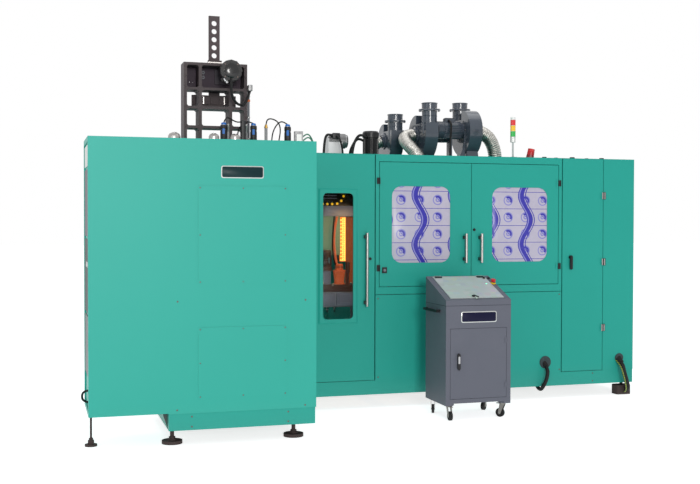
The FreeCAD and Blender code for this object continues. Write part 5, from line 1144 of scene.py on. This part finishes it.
# on the lid: hinges, handle plate with its turned lever, catch, knob and a small lamp
pad = [(0, 0), (0.004, 0), (0.0055, 0.0015)]
piece = Piece("lidTrim", "lid", slot="black_plastic")
for across in console["hinges"]:
    piece.carried(roundedOutline(0.032, 0.014, 0.004), pad, onSlope(across, 0.441, 0.0078),
                  slopeAxes, blackPlastic)
piece.carried(roundedOutline(0.017, 0.0125, 0.003), pad, onSlope(*console["handle"], 0.0105),
              slopeAxes, blackPlastic)
c, s = np.cos(console["leverTurn"]), np.sin(console["leverTurn"])
piece.carried(roundedOutline(0.0075, 0.026, 0.004) @ np.array([[c, s], [-s, c]]),
              [(0, 0), (0.004, 0), (0.006, 0.002)], onSlope(*console["lever"], 0.0145),
              slopeAxes, blackPlastic)
for place, above, profile in (
        ("catch", 0.0112, [(0.008, 0), (0.008, 0.006), (0.005, 0.008)]),
        ("knob", 0.0072, [(0.011, 0), (0.011, 0.004), (0.007, 0.012), (0.004, 0.016)])):
    piece.turned(profile, onSlope(*console[place], above), slopeOut, blackPlastic, 20)
piece.turned([(0.005, 0), (0.005, 0.002)], onSlope(*console["lamp"], 0.0072), slopeOut,
             ledGreen, 16)
piece.made()
piece = Piece("doorSwingTrim", "swing_handle", slot="bright_steel")
piece.carried(roundedOutline(0.0085, 0.03, 0.006), [(0, 0), (0.003, 0), (0.0045, 0.0015)],
              (2.92, 0.3192, 0.492), frontAxes, chromePlate)
piece.made()
# folded seam under the sloping top, on the console's front and left side
seam = (0.9285, 0.9315)
piece = Piece("consoleSeam", slot="console_grey")
piece.block((2.8125, 0.3396, seam[0]), (3.3835, 0.3401, seam[1]), seamShade, 0.0005, axis=0)
piece.block((2.8116, 0.341, seam[0]), (2.8121, 0.79, seam[1]), seamShade, 0.0005, axis=1)
piece.made()
print("console trim made")

# side cover: what stands in its shallow recess at the left end
recess = {"bands": ((2.0, 2.15, silverEdge), (1.5, 1.98, navyBlue), (0.95, 1.48, frameEnamel),
                    (0.5, 0.93, darkGreen)), "buttons": (0.12, 0.2, 0.28)}
piece = Piece("sideRecess", slot="dark_frame")
for low, high, material in recess["bands"]:
    piece.block((0.0045, 0.06, low), (0.0119, 0.53, high), material, axis=0)
for y in recess["buttons"]:
    piece.turned([(0.02, 0), (0.02, 0.003), (0.016, 0.0042)], (0.0046, y, 1.3), left,
                 silverEdge, 24)
piece.made()

# light, world and floor
lamps = {"keyLight": {"at": (-2.6, -22, 4.6), "target": (0.3, 0, 0.9), "size": (5, 5),
                      "power": 1780, "tint": (1, 0.985, 0.96)},
         "fillLight": {"at": (-8.5, -4.5, 3.2), "target": (-2.2, -0.6, 1.1), "size": (4, 4),
                       "power": 70, "tint": (0.97, 0.99, 1)},
         "ovenLight": {"at": (-0.12, 0.1, 1.5), "target": (-0.25, 0.6, 1.2),
                       "size": (0.1, 0.5), "power": 1.6, "tint": (1, 0.55, 0.25)},
         "topLight": {"at": (0, 0.5, 8.5), "target": (0, 0, 2), "size": (8, 5), "power": 200,
                      "tint": (1, 1, 1)}}
studio = {"world": (0.93, 0.96, 1.0), "worldLight": 0.44, "reach": 60,
          "floor": (0.86, 0.86, 0.86), "whiteness": 0.35, "bounce": 0.4}


def lampOver(name, at, target, size, power, tint):
    # a rectangular lamp that faces its target
    made = bpy.data.lights.new(name, "AREA")
    made.shape = "RECTANGLE"
    made.size, made.size_y = size
    made.energy = power
    made.color = tint
    thing = bpy.data.objects.new(name, made)
    thing.location = at
    thing.rotation_euler = (Vector(target) - Vector(at)).to_track_quat("-Z", "Y").to_euler()
    scene.collection.objects.link(thing)


for name, facts in lamps.items():
    lampOver(name, **facts)
scene.view_settings.view_transform = "Standard"


def seenDirectly(tree):
    # 1 for rays from the camera, off metal and through glass, 0 for those that light the piece
    rays = tree.nodes.new("ShaderNodeLightPath").outputs
    bounced = calc(tree, "MAXIMUM", rays["Is Glossy Ray"], rays["Is Transmission Ray"])
    return calc(tree, "MAXIMUM", bounced, rays["Is Camera Ray"])


def whiteWorld():
    # white where it is looked at, and a cool, weaker light on everything else
    world = bpy.data.worlds.new("studio")
    world.use_nodes = True
    scene.world = world
    tree = world.node_tree
    tree.nodes.clear()
    final = tree.nodes.new("ShaderNodeOutputWorld")
    mixer = tree.nodes.new("ShaderNodeMixShader")
    tree.links.new(seenDirectly(tree), mixer.inputs[0])
    for entry, colour, strength in ((1, studio["world"], studio["worldLight"]),
                                    (2, (1, 1, 1), 1.0)):
        sky = tree.nodes.new("ShaderNodeBackground")
        sky.inputs["Color"].default_value = (*colour, 1)
        sky.inputs["Strength"].default_value = strength
        tree.links.new(sky.outputs[0], mixer.inputs[entry])
    tree.links.new(mixer.outputs[0], final.inputs["Surface"])


def paleFloor():
    # a plain sheet that keeps the object's shadow; its own light is the bounce, plus the
    # whiteness where it is looked at
    reach = studio["reach"]
    mesh = bpy.data.meshes.new("floor")
    mesh.from_pydata([(-reach, -reach, 0), (reach, -reach, 0), (reach, reach, 0),
                      (-reach, reach, 0)], [], [[0, 1, 2, 3]])
    thing = bpy.data.objects.new("floor", mesh)
    scene.collection.objects.link(thing)
    material = bpy.data.materials.new("floorPaper")
    material.use_nodes = True
    tree = material.node_tree
    tree.nodes.clear()
    final = tree.nodes.new("ShaderNodeOutputMaterial")
    joined = tree.nodes.new("ShaderNodeAddShader")
    matt = tree.nodes.new("ShaderNodeBsdfDiffuse")
    matt.inputs["Color"].default_value = (*studio["floor"], 1)
    shine = tree.nodes.new("ShaderNodeEmission")
    looked = calc(tree, "MULTIPLY", seenDirectly(tree), studio["whiteness"])
    tree.links.new(calc(tree, "ADD", looked, studio["bounce"]), shine.inputs["Strength"])
    tree.links.new(matt.outputs[0], joined.inputs[0])
    tree.links.new(shine.outputs[0], joined.inputs[1])
    tree.links.new(joined.outputs[0], final.inputs["Surface"])
    mesh.materials.append(material)


whiteWorld()
paleFloor()
print("lights and floor made")
